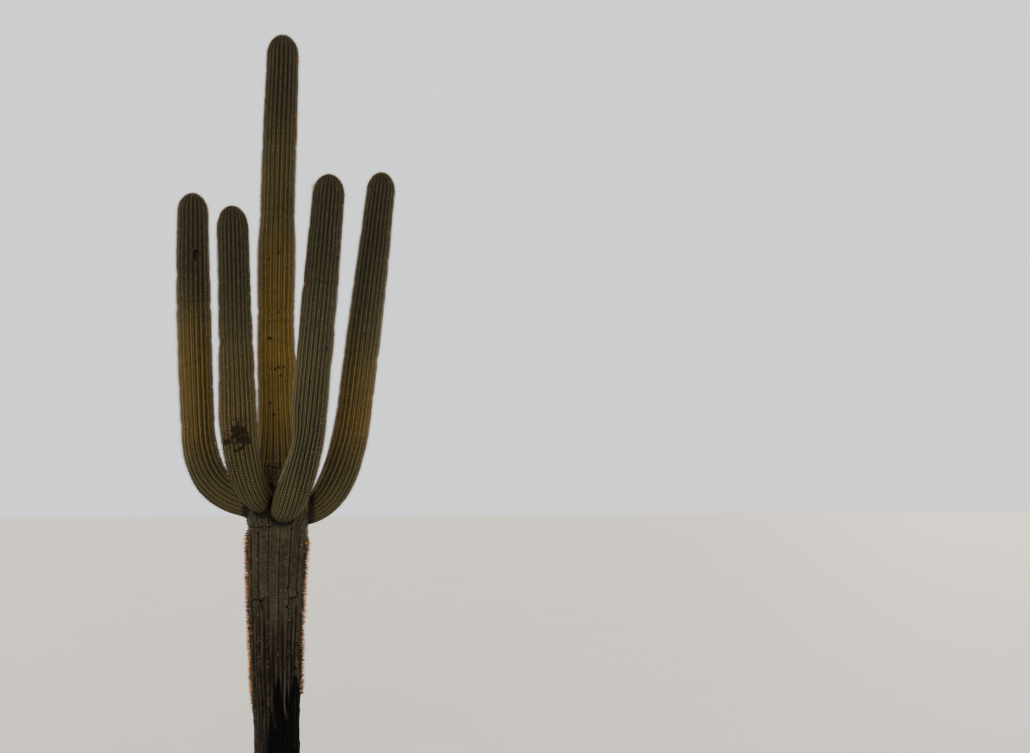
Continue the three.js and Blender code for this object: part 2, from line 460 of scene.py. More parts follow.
@dataclass(kw_only=True)
class Limb:
    """A ribbed limb, and the rule that says where its skin lies."""

    name: str
    nodes: tuple[str, ...] = ()  # the solids that the skin replaces
    slot: str
    rib_count: int
    facing: float  # azimuth of one crest, in degrees
    azimuth: float = 0.0  # the direction in which the limb leaves the trunk, in degrees
    seed: int
    start: float = 0.0
    end: float = 0.0
    tip_length: float = 0.175
    waists: tuple[Waist, ...] = ()
    hole: NestHole | None = None
    columns_per_rib: int = 10
    row_step: float = 0.010
    finish: "SkinFinish"
    old_before: tuple[float, float] = (0.15, 0.55)  # places between which old skin gives out
    sunlit_above: tuple[float, float] = (2.35, 2.85)  # heights between which old skin turns gold, a painted warm light
    crease_shade_width: float = 0.058  # how far from another limb the skin is darkened with painted shade
    mean_groove_depth: float = 0.016
    spines: "SpineHabit"
    bare_from: float = 0.0  # no areoles before this place
    singed_below: float = -1.0  # the height under which spines are blackened
    tuft: tuple[float, float, float] = (0, 0, -FAR)  # where the spines are longest
    left_shelter: float = 0.30  # how near another limb keeps spines short and dark with painted shade, by side
    right_shelter: float = 0.30
    neighbours: list["Limb"] = field(default_factory=list)

    def __post_init__(self) -> None:
        """Draws the limb's own unevenness, and how far its crests' areoles are out of step."""
        self.wander = Ripple(self.seed + 1, 2, 0.9)
        self.swell = Ripple(self.seed + 2, 2, 2.6)
        self.lumps = Ripple(self.seed + 3, 9, 9.0, 22)
        self.offbeat = np.random.default_rng(self.seed + 20).uniform(0, 1, self.rib_count)

    def areole_beat(self) -> tuple[np.ndarray, np.ndarray]:
        """Counts areoles along a crest. They stand closer towards a tip.

        Returns:
            Places along the limb, and how many areoles a crest has had up to each.
        """
        places = np.linspace(max(self.start, self.bare_from), self.end, 4000)
        closer = ease(*CLOSE_AREOLES, self.end - places) * (self.tip_length > 0)
        slope = np.gradient(self.radius(places), places)
        rate = np.hypot(1, slope) / (self.spines.spacing * (1 - CROWDING * closer))
        return places, np.cumsum(rate) * (places[1] - places[0])

    def rings(self, along: np.ndarray) -> Rings:
        """Where the rings at these places lie."""
        raise NotImplementedError

    def radius(self, along: np.ndarray) -> np.ndarray:
        """The radius over the crests at these places."""
        raise NotImplementedError

    def depth(self, along: np.ndarray) -> np.ndarray:
        """The depth of the grooves at these places, as a share of the radius."""
        raise NotImplementedError

    def tip_share(self, along: np.ndarray) -> np.ndarray:
        """How much of its radius the limb has left at these places.

        Args:
            along: Places along the limb.

        Returns:
            Shares from 1 on its body to 0 at its tip.
        """
        into = np.clip(1 - (self.end - along) / self.tip_length, 0, 1)
        return np.sqrt(1 - into**TIP_ROUNDNESS)

    def groove(self, angle: np.ndarray) -> np.ndarray:
        """Depth across a rib, from 0 on its crest to 1 in the sharp groove beside it."""
        return 1 - np.abs(np.cos(angle * self.rib_count / 2))

    def drift(self, along: np.ndarray, angle: np.ndarray) -> np.ndarray:
        """How far the ribs wander round the limb from straight lines.

        Args:
            along: Places along the limb.
            angle: Angles round it, as many.

        Returns:
            Angles to add.
        """
        return RIB_WANDER * self.wander(along, angle) * ease(self.end, self.end - 0.3, along)

    def relief(self, along: np.ndarray, angle: np.ndarray) -> np.ndarray:
        """How far the skin stands out from its crests' smooth outline, less where it lies in.

        Args:
            along: Places along the limb.
            angle: Angles round it, as many.

        Returns:
            Heights in metres.
        """
        radius = self.radius(along)
        body = ease(0, 0.6, self.tip_share(along))
        heights = -radius * self.depth(along) * self.groove(angle) ** RIB_SHARPNESS
        heights += radius * SWELLING * self.swell(along, angle) * body
        heights += LUMP_HEIGHT * self.lumps(along, angle) * body
        rightward = (1 + np.cos(math.radians(self.facing) + angle)) / 2
        for waist in self.waists:
            away = (self.end - along - waist.below_tip) / waist.half_height
            drawn_in = WAIST_STRENGTH * (waist.left + (waist.right - waist.left) * rightward)
            heights -= drawn_in * np.exp(-(away**2)) * body
        return heights

    def skin(self, along: np.ndarray, angle: np.ndarray) -> np.ndarray:
        """Points on the skin.

        Args:
            along: Places along the limb.
            angle: Angles round it, as many.

        Returns:
            The points, one to a row.
        """
        ring = self.rings(along)
        turned = math.radians(self.facing - self.azimuth) + angle + self.drift(along, angle)
        out = self.radius(along) + self.relief(along, angle) * self.tip_share(along) ** 0.5
        out = np.maximum(out, 0)
        return (
            ring.centre
            + ring.outer * (out * np.cos(turned))[:, None]
            + ring.side * (out * np.sin(turned))[:, None]
        )

    def rows(self) -> np.ndarray:
        """The places of the skin's rings: even along the body, and closer towards a tip."""
        body_end = self.end - self.tip_length
        body = np.linspace(self.start, body_end, round((body_end - self.start) / self.row_step) + 1)
        steps = round(1.7 * self.tip_length / self.row_step)
        tip = body_end + self.tip_length * np.sin(np.arange(1, steps + 1) / steps * math.pi / 2)
        return np.concatenate([body, tip])

    def shell(self) -> tuple[np.ndarray, np.ndarray]:
        """The limb's smooth outline in samples, to tell what lies inside it.

        Returns:
            The middles of rings along it, and their radii.
        """
        along = np.linspace(self.start, self.end, 220)
        return self.rings(along).centre, self.radius(along)

    def build(self) -> None:
        """Makes the skin as one closed mesh that replaces the limb's solids."""
        mesh, along, angle = self.grid()
        points = self.skin(along, angle)
        masks = self.masks(along, angle, points)
        points = points + self.outward(along, points) * self.hurt(masks, points)[:, None]
        mesh.vertices.foreach_set("co", points.ravel())
        self.write_masks(mesh, along, angle, masks)
        self.close(mesh)
        mesh.materials.append(self.finish.material())
        if self.hole is not None:
            mesh.materials.append(HoleLining().material())
        skin = bpy.data.objects.new(self.name, mesh)
        bpy.context.scene.collection.objects.link(skin)
        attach(skin, "root")
        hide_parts(*self.nodes)
        report(skin)

    def grid(self) -> tuple[bpy.types.Mesh, np.ndarray, np.ndarray]:
        """Makes the flat grid that is wrapped round the limb, with its columns along the ribs.

        Returns:
            The mesh, with the place and the angle of each of its vertices.
        """
        rows = self.rows()
        columns = self.rib_count * self.columns_per_rib
        bm = bmesh.new()
        bmesh.ops.create_grid(bm, x_segments=columns, y_segments=len(rows) - 1, size=0.5)
        mesh = bpy.data.meshes.new(self.name)
        bm.to_mesh(mesh)
        bm.free()
        flat = np.empty(len(mesh.vertices) * 3)
        mesh.vertices.foreach_get("co", flat)
        flat = flat.reshape(-1, 3) + 0.5
        along = rows[np.round(flat[:, 1] * (len(rows) - 1)).astype(int)]
        angle = np.round(flat[:, 0] * columns) / columns * math.tau
        return mesh, along, angle

    def close(self, mesh: bpy.types.Mesh) -> None:
        """Joins the wrapped grid's seam, closes its ends and opens a nest hole.

        Args:
            mesh: The skin's mesh.
        """
        bm = bmesh.new()
        bm.from_mesh(mesh)
        bmesh.ops.remove_doubles(bm, verts=bm.verts, dist=WELD_DISTANCE)
        ends = [edge for edge in bm.edges if edge.is_boundary]
        bmesh.ops.holes_fill(bm, edges=ends)
        bmesh.ops.recalc_face_normals(bm, faces=bm.faces)
        if self.hole is not None:
            self.hole.open(bm)
        for face in bm.faces:
            face.smooth = True
        bm.to_mesh(mesh)
        bm.free()

    def outward(self, along: np.ndarray, points: np.ndarray) -> np.ndarray:
        """Directions from the limb's middle to points on it."""
        return unit(points - self.rings(along).centre)

    def masks(
        self, along: np.ndarray, angle: np.ndarray, points: np.ndarray
    ) -> dict[str, np.ndarray]:
        """What the finish reads about each vertex.

        Args:
            along: The place of each vertex.
            angle: The angle of each vertex.
            points: Where each vertex is.

        Returns:
            Shares from 0 to 1 by name: the groove, old skin partly gilded by painted warm light,
                young
            skin, the tip, painted shade in the creases against other limbs and under the limb, each
            mark, cracks and char. Only areoles_passed counts on.
        """
        masks = {
            "groove": self.groove(angle),
            # old skin, turned gold higher up partly as painted warm light
            "age": ease(self.old_before[1], self.old_before[0], along)
            * (0.2 + 0.8 * ease(*self.sunlit_above, points[:, 2])),
            "youth": self.youth(along),
            "tip": ease(*TIP_SKIN, self.end - along) * (self.tip_length > 0),
            # painted shade in the creases against other limbs and on the underside
            "crease": np.maximum(
                self.crease(points), UNDERSIDE_SHADE * self.beneath(along, points)
            ),
            "crack": np.zeros(len(points)),
            "char": np.zeros(len(points)),
        }
        rib = np.round(angle * self.rib_count / math.tau).astype(int) % self.rib_count
        masks["areoles_passed"] = np.interp(along, *self.areole_beat()) - self.offbeat[rib]
        for mark in Mark:
            covers = [blemish.cover(points) for blemish in BLEMISHES if blemish.mark is mark]
            masks[mark.value] = np.max(covers, axis=0)
        return masks

    def youth(self, along: np.ndarray) -> np.ndarray:
        """How young the skin is at these places, with 1 on the newest growth."""
        return ease(*YOUNG_SKIN, self.end - along) * (self.tip_length > 0)

    def crease(self, points: np.ndarray) -> np.ndarray:
        """How deep points lie in the crease where another limb touches this one, for its painted
        shade.

        Args:
            points: Points on the skin, one to a row.

        Returns:
            Shares from 0 to 1.
        """
        return ease(self.crease_shade_width, TOUCHING, self.gap(points))

    def beneath(self, along: np.ndarray, points: np.ndarray) -> np.ndarray:
        """How far the skin faces the ground, with 1 where it hangs level."""
        return ease(*UNDERSIDE, self.outward(along, points)[:, 2])

    def gap(self, points: np.ndarray) -> np.ndarray:
        """How far points low on the plant lie from its other limbs.

        Args:
            points: Points on the skin, one to a row.

        Returns:
            The distances, and FAR where the limbs have parted.
        """
        away = np.full(len(points), FAR)
        low = np.flatnonzero(points[:, 2] < LIMBS_PART_AT)
        for other in self.neighbours:
            centres, radii = other.shell()
            for some in np.array_split(low, max(1, len(low) // POINTS_AT_ONCE)):
                gaps = np.linalg.norm(points[some, None] - centres[None], axis=2) - radii
                away[some] = np.minimum(away[some], gaps.min(axis=1))
        return away

    def hurt(self, masks: dict[str, np.ndarray], points: np.ndarray) -> np.ndarray:
        """How far the marks raise the skin.

        Args:
            masks: The masks of each vertex.
            points: Where each vertex is.

        Returns:
            Heights in metres.
        """
        scab, gnarl = masks[Mark.SCAB.value], masks[Mark.GNARL.value]
        raised = 0.95 * self.mean_groove_depth * masks["groove"] * np.maximum(scab, 0.8 * gnarl)
        raised += scab * (0.0028 * SCAB_GRAIN(points) - 0.003)
        knot = np.linalg.norm(points - KNOT, axis=1)
        raised += gnarl * (0.006 + 0.0045 * np.cos(knot * math.tau / KNOT_RING))
        raised += gnarl * 0.014 * ease(KNOT_RADIUS, KNOT_RADIUS / 3, knot)
        return raised - 0.004 * masks[Mark.PIT.value]

    def write_masks(
        self,
        mesh: bpy.types.Mesh,
        along: np.ndarray,
        angle: np.ndarray,
        masks: dict[str, np.ndarray],
    ) -> None:
        """Writes the masks and the place on the limb to the skin's mesh.

        Args:
            mesh: The skin's mesh.
            along: The place of each vertex.
            angle: The angle of each vertex.
            masks: The masks of each vertex.
        """
        girth = float(np.median(self.radius(along)))
        place = np.stack([girth * np.cos(angle), girth * np.sin(angle), along], axis=1)
        layer = mesh.attributes.new("limb_place", "FLOAT_VECTOR", "POINT")
        layer.data.foreach_set("vector", place.ravel())
        for name, values in masks.items():
            layer = mesh.attributes.new(name, "FLOAT", "POINT")
            layer.data.foreach_set("value", values)


TRUNK_HEIGHT = 6.0
TRUNK_PROFILE = SmoothCurve(
    (0, 0.212),  # root flare
    (0.11, 0.184),
    (0.3, 0.172),  # ankle
    (1.0, 0.195),
    (1.5, 0.209),
    (1.9, 0.229),  # swelling below the collar
    (2.15, 0.246),  # shoulder that carries the arms
    (2.42, 0.200),
    (2.7, 0.159),  # foot of the upper stem
    (3.55, 0.142),
    (4.2, 0.146),
    (4.55, 0.134),
    (5.0, 0.134),
    (5.7, 0.125),
)
TRUNK_LEAN = SmoothCurve(
    (0, 0), (1.6, -0.052), (2.15, -0.048), (3.4, -0.102), (4.4, -0.119), (TRUNK_HEIGHT, -0.111)
)
COLLAR_HEIGHT = 1.983
COLLAR_HALF_HEIGHT = 0.030
COLLAR_DEPTH = 0.009
TUCK_DEPTH = 0.02  # how far the ends of the two growths are drawn in where they meet
TUCK_HEIGHT = 0.010


@dataclass(kw_only=True)
class TrunkGrowth(Limb):
    """A growth of the trunk. Its places are heights above the ground."""

    depths: SmoothCurve
    nodes: tuple[str, ...] = ("trunk",)
    slot: str = "trunk_skin"
    crease_shade_width: float = 0.07

    def rings(self, along: np.ndarray) -> Rings:
        """Level rings on the leaning axis."""
        level = np.zeros_like(along)
        ones = np.ones_like(along)
        return Rings(
            np.stack([TRUNK_LEAN(along), level, along], axis=1),
            np.stack([ones, level, level], axis=1),
            np.stack([level, ones, level], axis=1),
        )

    def radius(self, along: np.ndarray) -> np.ndarray:
        """The radius over the crests, with the crease of the collar."""
        away = (along - COLLAR_HEIGHT) / COLLAR_HALF_HEIGHT
        crease = COLLAR_DEPTH * np.exp(-(away**2))
        return (TRUNK_PROFILE(along) - crease) * self.tip_share(along)

    def depth(self, along: np.ndarray) -> np.ndarray:
        """The depth of the grooves as a share of the radius."""
        return self.depths(along)


@dataclass(kw_only=True)
class OldWood(TrunkGrowth):
    """The lower trunk: broad flat ribs above, and furrowed bark below."""

    hollow_depth: float = 0.0075  # between the crests of the flat ribs
    crest_notch: float = 0.0045  # down the crests of the bark
    furrow_depth: float = 0.0055
    bark_lumps: float = 0.0017
    rib_flare: float = 9.0  # how far the ribs bend apart above the collar, in degrees
    rib_wander: float = 0.8
    furrowed_below: float = 1.44
    char_tops: SmoothCurve = field(  # by azimuth, with the front at 270 degrees
        default_factory=lambda: SmoothCurve(
            (0, 0.78), (40, 0.46), (120, 0.20), (200, 0.16), (234, 0.28), (246, 0.52),
            (256, 0.68), (268, 0.80), (292, 0.86), (330, 0.88), (360, 0.76),
        )
    )

    def __post_init__(self) -> None:
        """Draws the unevenness of the bark and of the char's edge."""
        super().__post_init__()
        self.furrows = Ripple(self.seed + 5, 34, 1.1, 26)
        self.bark = Ripple(self.seed + 6, 30, 22, 26)
        self.streaks = Ripple(self.seed + 7, 26, 0.5, 24)
        self.bark_edge = Ripple(self.seed + 8, 13, 0.0)
        self.tongues = Ripple(self.seed + 9, 9, 0.0)

    def tip_share(self, along: np.ndarray) -> np.ndarray:
        """The whole radius, as this growth has no tip."""
        return np.ones_like(along)

    def rows(self) -> np.ndarray:
        """Even rings from the ground to the collar."""
        count = round((self.end - self.start) / self.row_step)
        return np.linspace(self.start, self.end, count + 1)

    def relief(self, along: np.ndarray, angle: np.ndarray) -> np.ndarray:
        """Flat bands between sharp crests above, furrowed strips below, and the cracks.

        Args:
            along: Heights above the ground.
            angle: Angles round the trunk, as many.

        Returns:
            Heights of the relief in metres.
        """
        low = self.furrowed(along, angle)
        hollow = np.abs(np.sin(angle * self.rib_count / 2))
        heights = super().relief(along, angle) * (0.25 + 0.75 * low)
        heights -= self.hollow_depth * hollow**0.8 * (1 - low)
        heights -= self.crest_notch * low * ease(0.07, 0.0, self.groove(angle))
        furrows = np.abs(self.furrows(along, angle))
        heights -= self.furrow_depth * low * ease(0.30, 0.0, furrows)
        heights += self.bark_lumps * low * self.bark(along, angle)
        heights -= TUCK_DEPTH * ease(self.end - TUCK_HEIGHT, self.end, along)
        azimuth = np.degrees(angle) + self.facing
        for crack in CRACKS:
            heights -= crack.depth * crack.cover(azimuth, along)
        return heights

    def drift(self, along: np.ndarray, angle: np.ndarray) -> np.ndarray:
        """Bends the ribs outwards from the front above the collar, towards the arms."""
        outwards = np.sin(angle + math.radians(self.facing + 90))
        above = ease(COLLAR_HEIGHT - 0.01, COLLAR_HEIGHT + 0.12, along)
        flare = math.radians(self.rib_flare) * above
        return math.radians(self.rib_wander) * self.wander(along, angle) + flare * outwards

    def furrowed(self, along: np.ndarray, angle: np.ndarray, fade: float = 0.16) -> np.ndarray:
        """How far the bands are split into strips of bark.

        Args:
            along: Heights above the ground.
            angle: Angles round the trunk, as many.
            fade: The height over which the change comes about.

        Returns:
            Shares from 0 to 1.
        """
        starts = self.furrowed_below - 0.06 + 0.07 * self.bark_edge(along, angle)
        return ease(starts + 0.2 * fade, starts - 0.8 * fade, along)

    def masks(
        self, along: np.ndarray, angle: np.ndarray, points: np.ndarray
    ) -> dict[str, np.ndarray]:
        """Adds the strips of bark, cracks, painted highlights by two crests and the blackened foot.

        Args:
            along: The height of each vertex.
            angle: The angle of each vertex.
            points: Where each vertex is.

        Returns:
            The masks.
        """
        masks = super().masks(along, angle, points)
        azimuth = np.degrees(angle) + self.facing
        masks["youth"] = np.zeros(len(points))
        masks["crack"] = np.max([crack.cover(azimuth, along) for crack in CRACKS], axis=0)
        # painted highlights beside two crests, laid into the tan mask
        wear_and_highlight = np.max([line.cover(azimuth, along) for line in PAINTED_CREST_HIGHLIGHTS], axis=0)
        masks["tan"] = np.maximum(masks["tan"], 2.4 * wear_and_highlight)
        masks["age"] = self.furrowed(along, angle, 0.50)
        reach = self.char_tops(azimuth % 360)
        strip = 4 * masks["groove"] * (1 - masks["groove"])
        edge = along - reach + 0.07 * strip
        edge += 0.05 * self.streaks(along, angle) + 0.07 * self.tongues(along, angle)
        spared = np.max([bark.cover(azimuth, along) for bark in UNBURNT], axis=0)
        masks["char"] = ease(0.08, -0.13, edge) * (1 - 0.9 * spared)
        return masks


@dataclass(kw_only=True)
class YoungWood(TrunkGrowth):
    """The upper trunk, green and sharply ribbed to its tip."""

    shadow_top: float = 2.36  # of the painted shadow on the foot that comes out of the old wood
    shadow_foot: float = 2.12
    shadow: float = 0.42

    def relief(self, along: np.ndarray, angle: np.ndarray) -> np.ndarray:
        """Tucks the foot of the growth in under the old wood."""
        tucked = ease(self.start + TUCK_HEIGHT, self.start, along)
        return super().relief(along, angle) - TUCK_DEPTH * tucked

    def masks(
        self, along: np.ndarray, angle: np.ndarray, points: np.ndarray
    ) -> dict[str, np.ndarray]:
        """Paints shadow on the foot of the growth, where it comes out of the old wood.

        Args:
            along: The place of each vertex.
            angle: The angle of each vertex.
            points: Where each vertex is.

        Returns:
            The masks.
        """
        masks = super().masks(along, angle, points)
        shadow = self.shadow * ease(self.shadow_top, self.shadow_foot, along)
        masks["crease"] = np.maximum(masks["crease"], shadow)
        return masks


@dataclass(kw_only=True)
class Arm(Limb):
    """An arm that bends up beside the trunk. Its places run from inside the trunk to its tip."""

    slot: str = "arm_skin"
    rise: float  # how steeply it leaves the trunk, in degrees
    height: float  # where it does so
    root_inset: float = 0.12
    root_pull: float  # how strongly each end holds the bend straight
    upright_pull: float
    elbow_top: tuple[float, float, float]
    tip: tuple[float, float, float]
    bow: float = 0.0  # of the upright, to the right
    neck: float  # the radii, from the trunk to the foot of the round tip
    elbow: float
    waist: float
    middle: float
    upper: float
    grooves: float = 0.135  # their depth as a share of the radius
    neck_grooves: float = 0.05
    middle_grooves: float = 0.78  # this one and the next as shares of the grooves' own depth
    upper_grooves: float = 0.88
    clearance: float = 0.0004  # between the elbow and the upright
    samples: int = 600  # of the centreline, in the bend and again in the upright

    def __post_init__(self) -> None:
        """Names the solids that the arm stands for, and measures it."""
        self.nodes = (f"{self.name}_elbow", f"{self.name}_upright")
        self.measure_line()
        self.set_sizes()
        super().__post_init__()

    def measure_line(self) -> None:
        """Lays the centreline, a cubic bend and then a slightly bowed upright."""
        azimuth, rise = math.radians(self.azimuth), math.radians(self.rise)
        level = math.cos(rise)
        outward = np.array([math.cos(azimuth) * level, math.sin(azimuth) * level, math.sin(rise)])
        root = np.array([float(TRUNK_LEAN(np.array(self.height))), 0, self.height])
        root = root + outward * (float(TRUNK_PROFILE(np.array(self.height))) - self.root_inset)
        top, tip = np.array(self.elbow_top), np.array(self.tip)
        halfway = (top + tip) / 2 + np.array([self.bow * 2, 0, 0])
        upward = (halfway - top) / np.linalg.norm(halfway - top)
        seat = top - upward * self.clearance
        t = np.linspace(0, 1, self.samples)[:, None]
        pulled = root + outward * (self.root_inset + self.root_pull)
        held = seat - upward * self.upright_pull
        bend = (1 - t) ** 3 * root + 3 * (1 - t) ** 2 * t * pulled
        bend = bend + 3 * (1 - t) * t**2 * held + t**3 * seat
        upright = (1 - t) ** 2 * top + 2 * (1 - t) * t * halfway + t**2 * tip
        self.line = np.concatenate([bend, upright])
        steps = np.linalg.norm(np.diff(self.line, axis=0), axis=1)
        self.reached = np.concatenate([[0], np.cumsum(steps)])
        self.bend_length = float(self.reached[self.samples - 1])
        self.end = float(self.reached[-1])
        ahead = np.gradient(self.line, axis=0)
        self.ahead = ahead / np.linalg.norm(ahead, axis=1)[:, None]

    def set_sizes(self) -> None:
        """Sets the radii of elbow and upright, and the depth of the grooves."""
        neck_end = self.root_inset / self.bend_length
        self.elbow_radius = SmoothCurve(
            (0, self.neck),
            (neck_end, self.neck),
            (neck_end + 0.2, (self.neck + 2 * self.elbow) / 3),
            (neck_end + 0.38, self.elbow),
            (1, self.waist),
        )
        upright_length = self.end - self.bend_length
        self.upright_radius = SmoothCurve(
            (0, self.waist), (0.5, self.middle), (1 - self.tip_length / upright_length, self.upper)
        )
        self.depths = SmoothCurve(
            (0, self.neck_grooves),
            (neck_end, self.neck_grooves),
            (0.6, self.grooves),
            (1.0, self.grooves),
            (1.0 + 0.45 / self.bend_length, self.middle_grooves * self.grooves),
            ((self.end - 1.0) / self.bend_length, self.middle_grooves * self.grooves),
            ((self.end - 0.5) / self.bend_length, self.upper_grooves * self.grooves),
        )

    def read(self, vectors: np.ndarray, along: np.ndarray) -> np.ndarray:
        """Reads vectors that belong to the centreline's samples, at these places."""
        return np.stack([np.interp(along, self.reached, axis) for axis in vectors.T], axis=1)

    def rings(self, along: np.ndarray) -> Rings:
        """Rings square to the centreline, all with their sides level with the trunk's."""
        ahead = self.read(self.ahead, along)
        ahead /= np.linalg.norm(ahead, axis=1)[:, None]
        azimuth = math.radians(self.azimuth)
        sideways = np.array([-math.sin(azimuth), math.cos(azimuth), 0])
        side = sideways - ahead * (ahead @ sideways)[:, None]
        side /= np.linalg.norm(side, axis=1)[:, None]
        return Rings(self.read(self.line, along), np.cross(side, ahead), side)

    def radius(self, along: np.ndarray) -> np.ndarray:
        """The radius over the crests, of the elbow or of the upright."""
        low = self.elbow_radius(along / self.bend_length)
        high = self.upright_radius((along - self.bend_length) / (self.end - self.bend_length))
        share = ease(self.bend_length - 0.06, self.bend_length + 0.06, along)
        return (low * (1 - share) + high * share) * self.tip_share(along)

    def depth(self, along: np.ndarray) -> np.ndarray:
        """The depth of the grooves as a share of the radius."""
        return self.depths(along / self.bend_length)

    def relief(self, along: np.ndarray, angle: np.ndarray) -> np.ndarray:
        """Smooths the ribs round a nest hole and raises its lip.

        Args:
            along: Places along the arm.
            angle: Angles round it, as many.

        Returns:
            Heights of the relief in metres.
        """
        heights = super().relief(along, angle)
        if self.hole is None:
            return heights
        ring = self.rings(along)
        turned = math.radians(self.facing - self.azimuth) + angle
        radius = self.radius(along)[:, None]
        points = ring.centre + radius * (
            ring.outer * np.cos(turned)[:, None] + ring.side * np.sin(turned)[:, None]
        )
        healed = ease(1.9, 1.1, self.hole.reach(points))
        return heights * (1 - healed) + self.hole.lip * healed


class Signal:
    """A socket's value in a material. Sums and products of signals add Math nodes."""

    def __init__(self, bench: "Bench", socket: bpy.types.NodeSocket) -> None:
        """Wraps a socket of a bench's material."""
        self.bench = bench
        self.socket = socket

    def worked(self, operation: str, *terms: "Signal | float") -> "Signal":
        """A Math node on these terms.

        Args:
            operation: The node's operation.
            terms: Its inputs in order.

        Returns:
            Its value.
        """
        sockets = dict(enumerate(terms))
        return self.bench.node("ShaderNodeMath", {"operation": operation}, sockets)

    def __add__(self, other: "Signal | float") -> "Signal":
        """The sum."""
        return self.worked("ADD", self, other)

    def __radd__(self, other: float) -> "Signal":
        """The sum, with a number first."""
        return self.worked("ADD", other, self)

    def __sub__(self, other: "Signal | float") -> "Signal":
        """The difference."""
        return self.worked("SUBTRACT", self, other)

    def __rsub__(self, other: float) -> "Signal":
        """The difference, with a number first."""
        return self.worked("SUBTRACT", other, self)

    def __mul__(self, other: "Signal | float") -> "Signal":
        """The product."""
        return self.worked("MULTIPLY", self, other)

    def larger(self, other: "Signal | float") -> "Signal":
        """The larger of the two."""
        return self.worked("MAXIMUM", self, other)

    def eased(self, low: float, high: float) -> "Signal":
        """Rises smoothly from 0 at low to 1 at high.

        Args:
            low: The value that gives 0.
            high: The value that gives 1, which may be the smaller.

        Returns:
            A share from 0 to 1.
        """
        falls = low > high
        sockets = {
            "Value": self,
            "From Min": min(low, high),
            "From Max": max(low, high),
            "To Min": float(falls),
            "To Max": float(not falls),
        }
        return self.bench.node(
            "ShaderNodeMapRange", {"interpolation_type": "SMOOTHSTEP"}, sockets
        )


class Bench:
    """A material under construction."""

    def __init__(self, name: str) -> None:
        """Starts a material with a Principled shader on its output.

        Args:
            name: The material's name.
        """
        self.material = bpy.data.materials.new(name)
        self.material.use_nodes = True
        self.tree = self.material.node_tree
        self.shader = self.tree.nodes["Principled BSDF"]

    def node(
        self,
        kind: str,
        settings: dict[str, Any] | None = None,
        sockets: dict[str | int, Any] | None = None,
        result: str | int = 0,
    ) -> Signal:
        """Adds a node.

        Args:
            kind: The node's type.
            settings: Its properties, set before its sockets.
            sockets: Values or signals for its inputs, by identifier, name or number.
            result: The output to return, by identifier, name or number.

        Returns:
            That output.
        """
        node = self.tree.nodes.new(kind)
        for name, value in (settings or {}).items():
            setattr(node, name, value)
        for key, value in (sockets or {}).items():
            socket = self.find(node.inputs, key)
            if isinstance(value, Signal):
                self.tree.links.new(value.socket, socket)
            else:
                socket.default_value = value
        return Signal(self, self.find(node.outputs, result))

    @staticmethod
    def find(sockets: Any, key: str | int) -> bpy.types.NodeSocket:
        """The socket with this identifier, name or number.

        Args:
            sockets: The inputs or outputs of a node.
            key: What to look for.

        Returns:
            The socket.
        """
        if isinstance(key, int):
            return sockets[key]
        for socket in sockets:
            if socket.identifier == key:
                return socket
        return sockets[key]

    def mask(self, name: str) -> Signal:
        """A number that the skin's mesh holds under this name."""
        return self.node("ShaderNodeAttribute", {"attribute_name": name}, result="Fac")

    def beads(self) -> Signal:
        """Rises to 1 at each areole along a rib, and falls to 0 halfway between."""
        turns = self.mask("areoles_passed") * math.tau
        return turns.worked("COSINE", turns) * 0.5 + 0.5

    def limb_place(self, stretch: tuple[float, float, float] = (1, 1, 1)) -> Signal:
        """The place on the limb, which follows its bends, stretched along each axis."""
        place = self.node("ShaderNodeAttribute", {"attribute_name": "limb_place"}, result="Vector")
        return self.node("ShaderNodeMapping", None, {"Vector": place, "Scale": stretch})

    def noise(
        self, place: Signal, scale: float, detail: float = 3.0, rough: float = 0.55
    ) -> Signal:
        """Cloudy noise from 0 to 1.

        Args:
            place: Where it is read.
            scale: Swells to a metre.
            detail: How many finer layers lie on it.
            rough: How strong they are.

        Returns:
            The noise.
        """
        sockets = {"Vector": place, "Scale": scale, "Detail": detail, "Roughness": rough}
        return self.node("ShaderNodeTexNoise", None, sockets, result="Fac")

    def blend(self, share: Signal | float, under: Signal | Colour, over: Signal | Colour) -> Signal:
        """One colour laid over another.

        Args:
            share: How far it covers.
            under: The colour below.
            over: The colour on top.

        Returns:
            The mixed colour.
        """
        sockets = {"Factor_Float": share, "A_Color": under, "B_Color": over}
        return self.node("ShaderNodeMix", {"data_type": "RGBA"}, sockets, result="Result_Color")

    def finish(self, colour: Signal, roughness: Signal, height: Signal, rise: float) -> None:
        """Connects what varies over the surface.

        Args:
            colour: The base colour.
            roughness: The roughness.
            height: The fine relief, from 0 to 1.
            rise: How far 1 stands out, in metres.
        """
        bumped = self.node(
            "ShaderNodeBump", None, {"Strength": 1.0, "Distance": rise, "Height": height}
        )
        for name, signal in (("Base Color", colour), ("Roughness", roughness), ("Normal", bumped)):
            self.tree.links.new(signal.socket, self.shader.inputs[name])


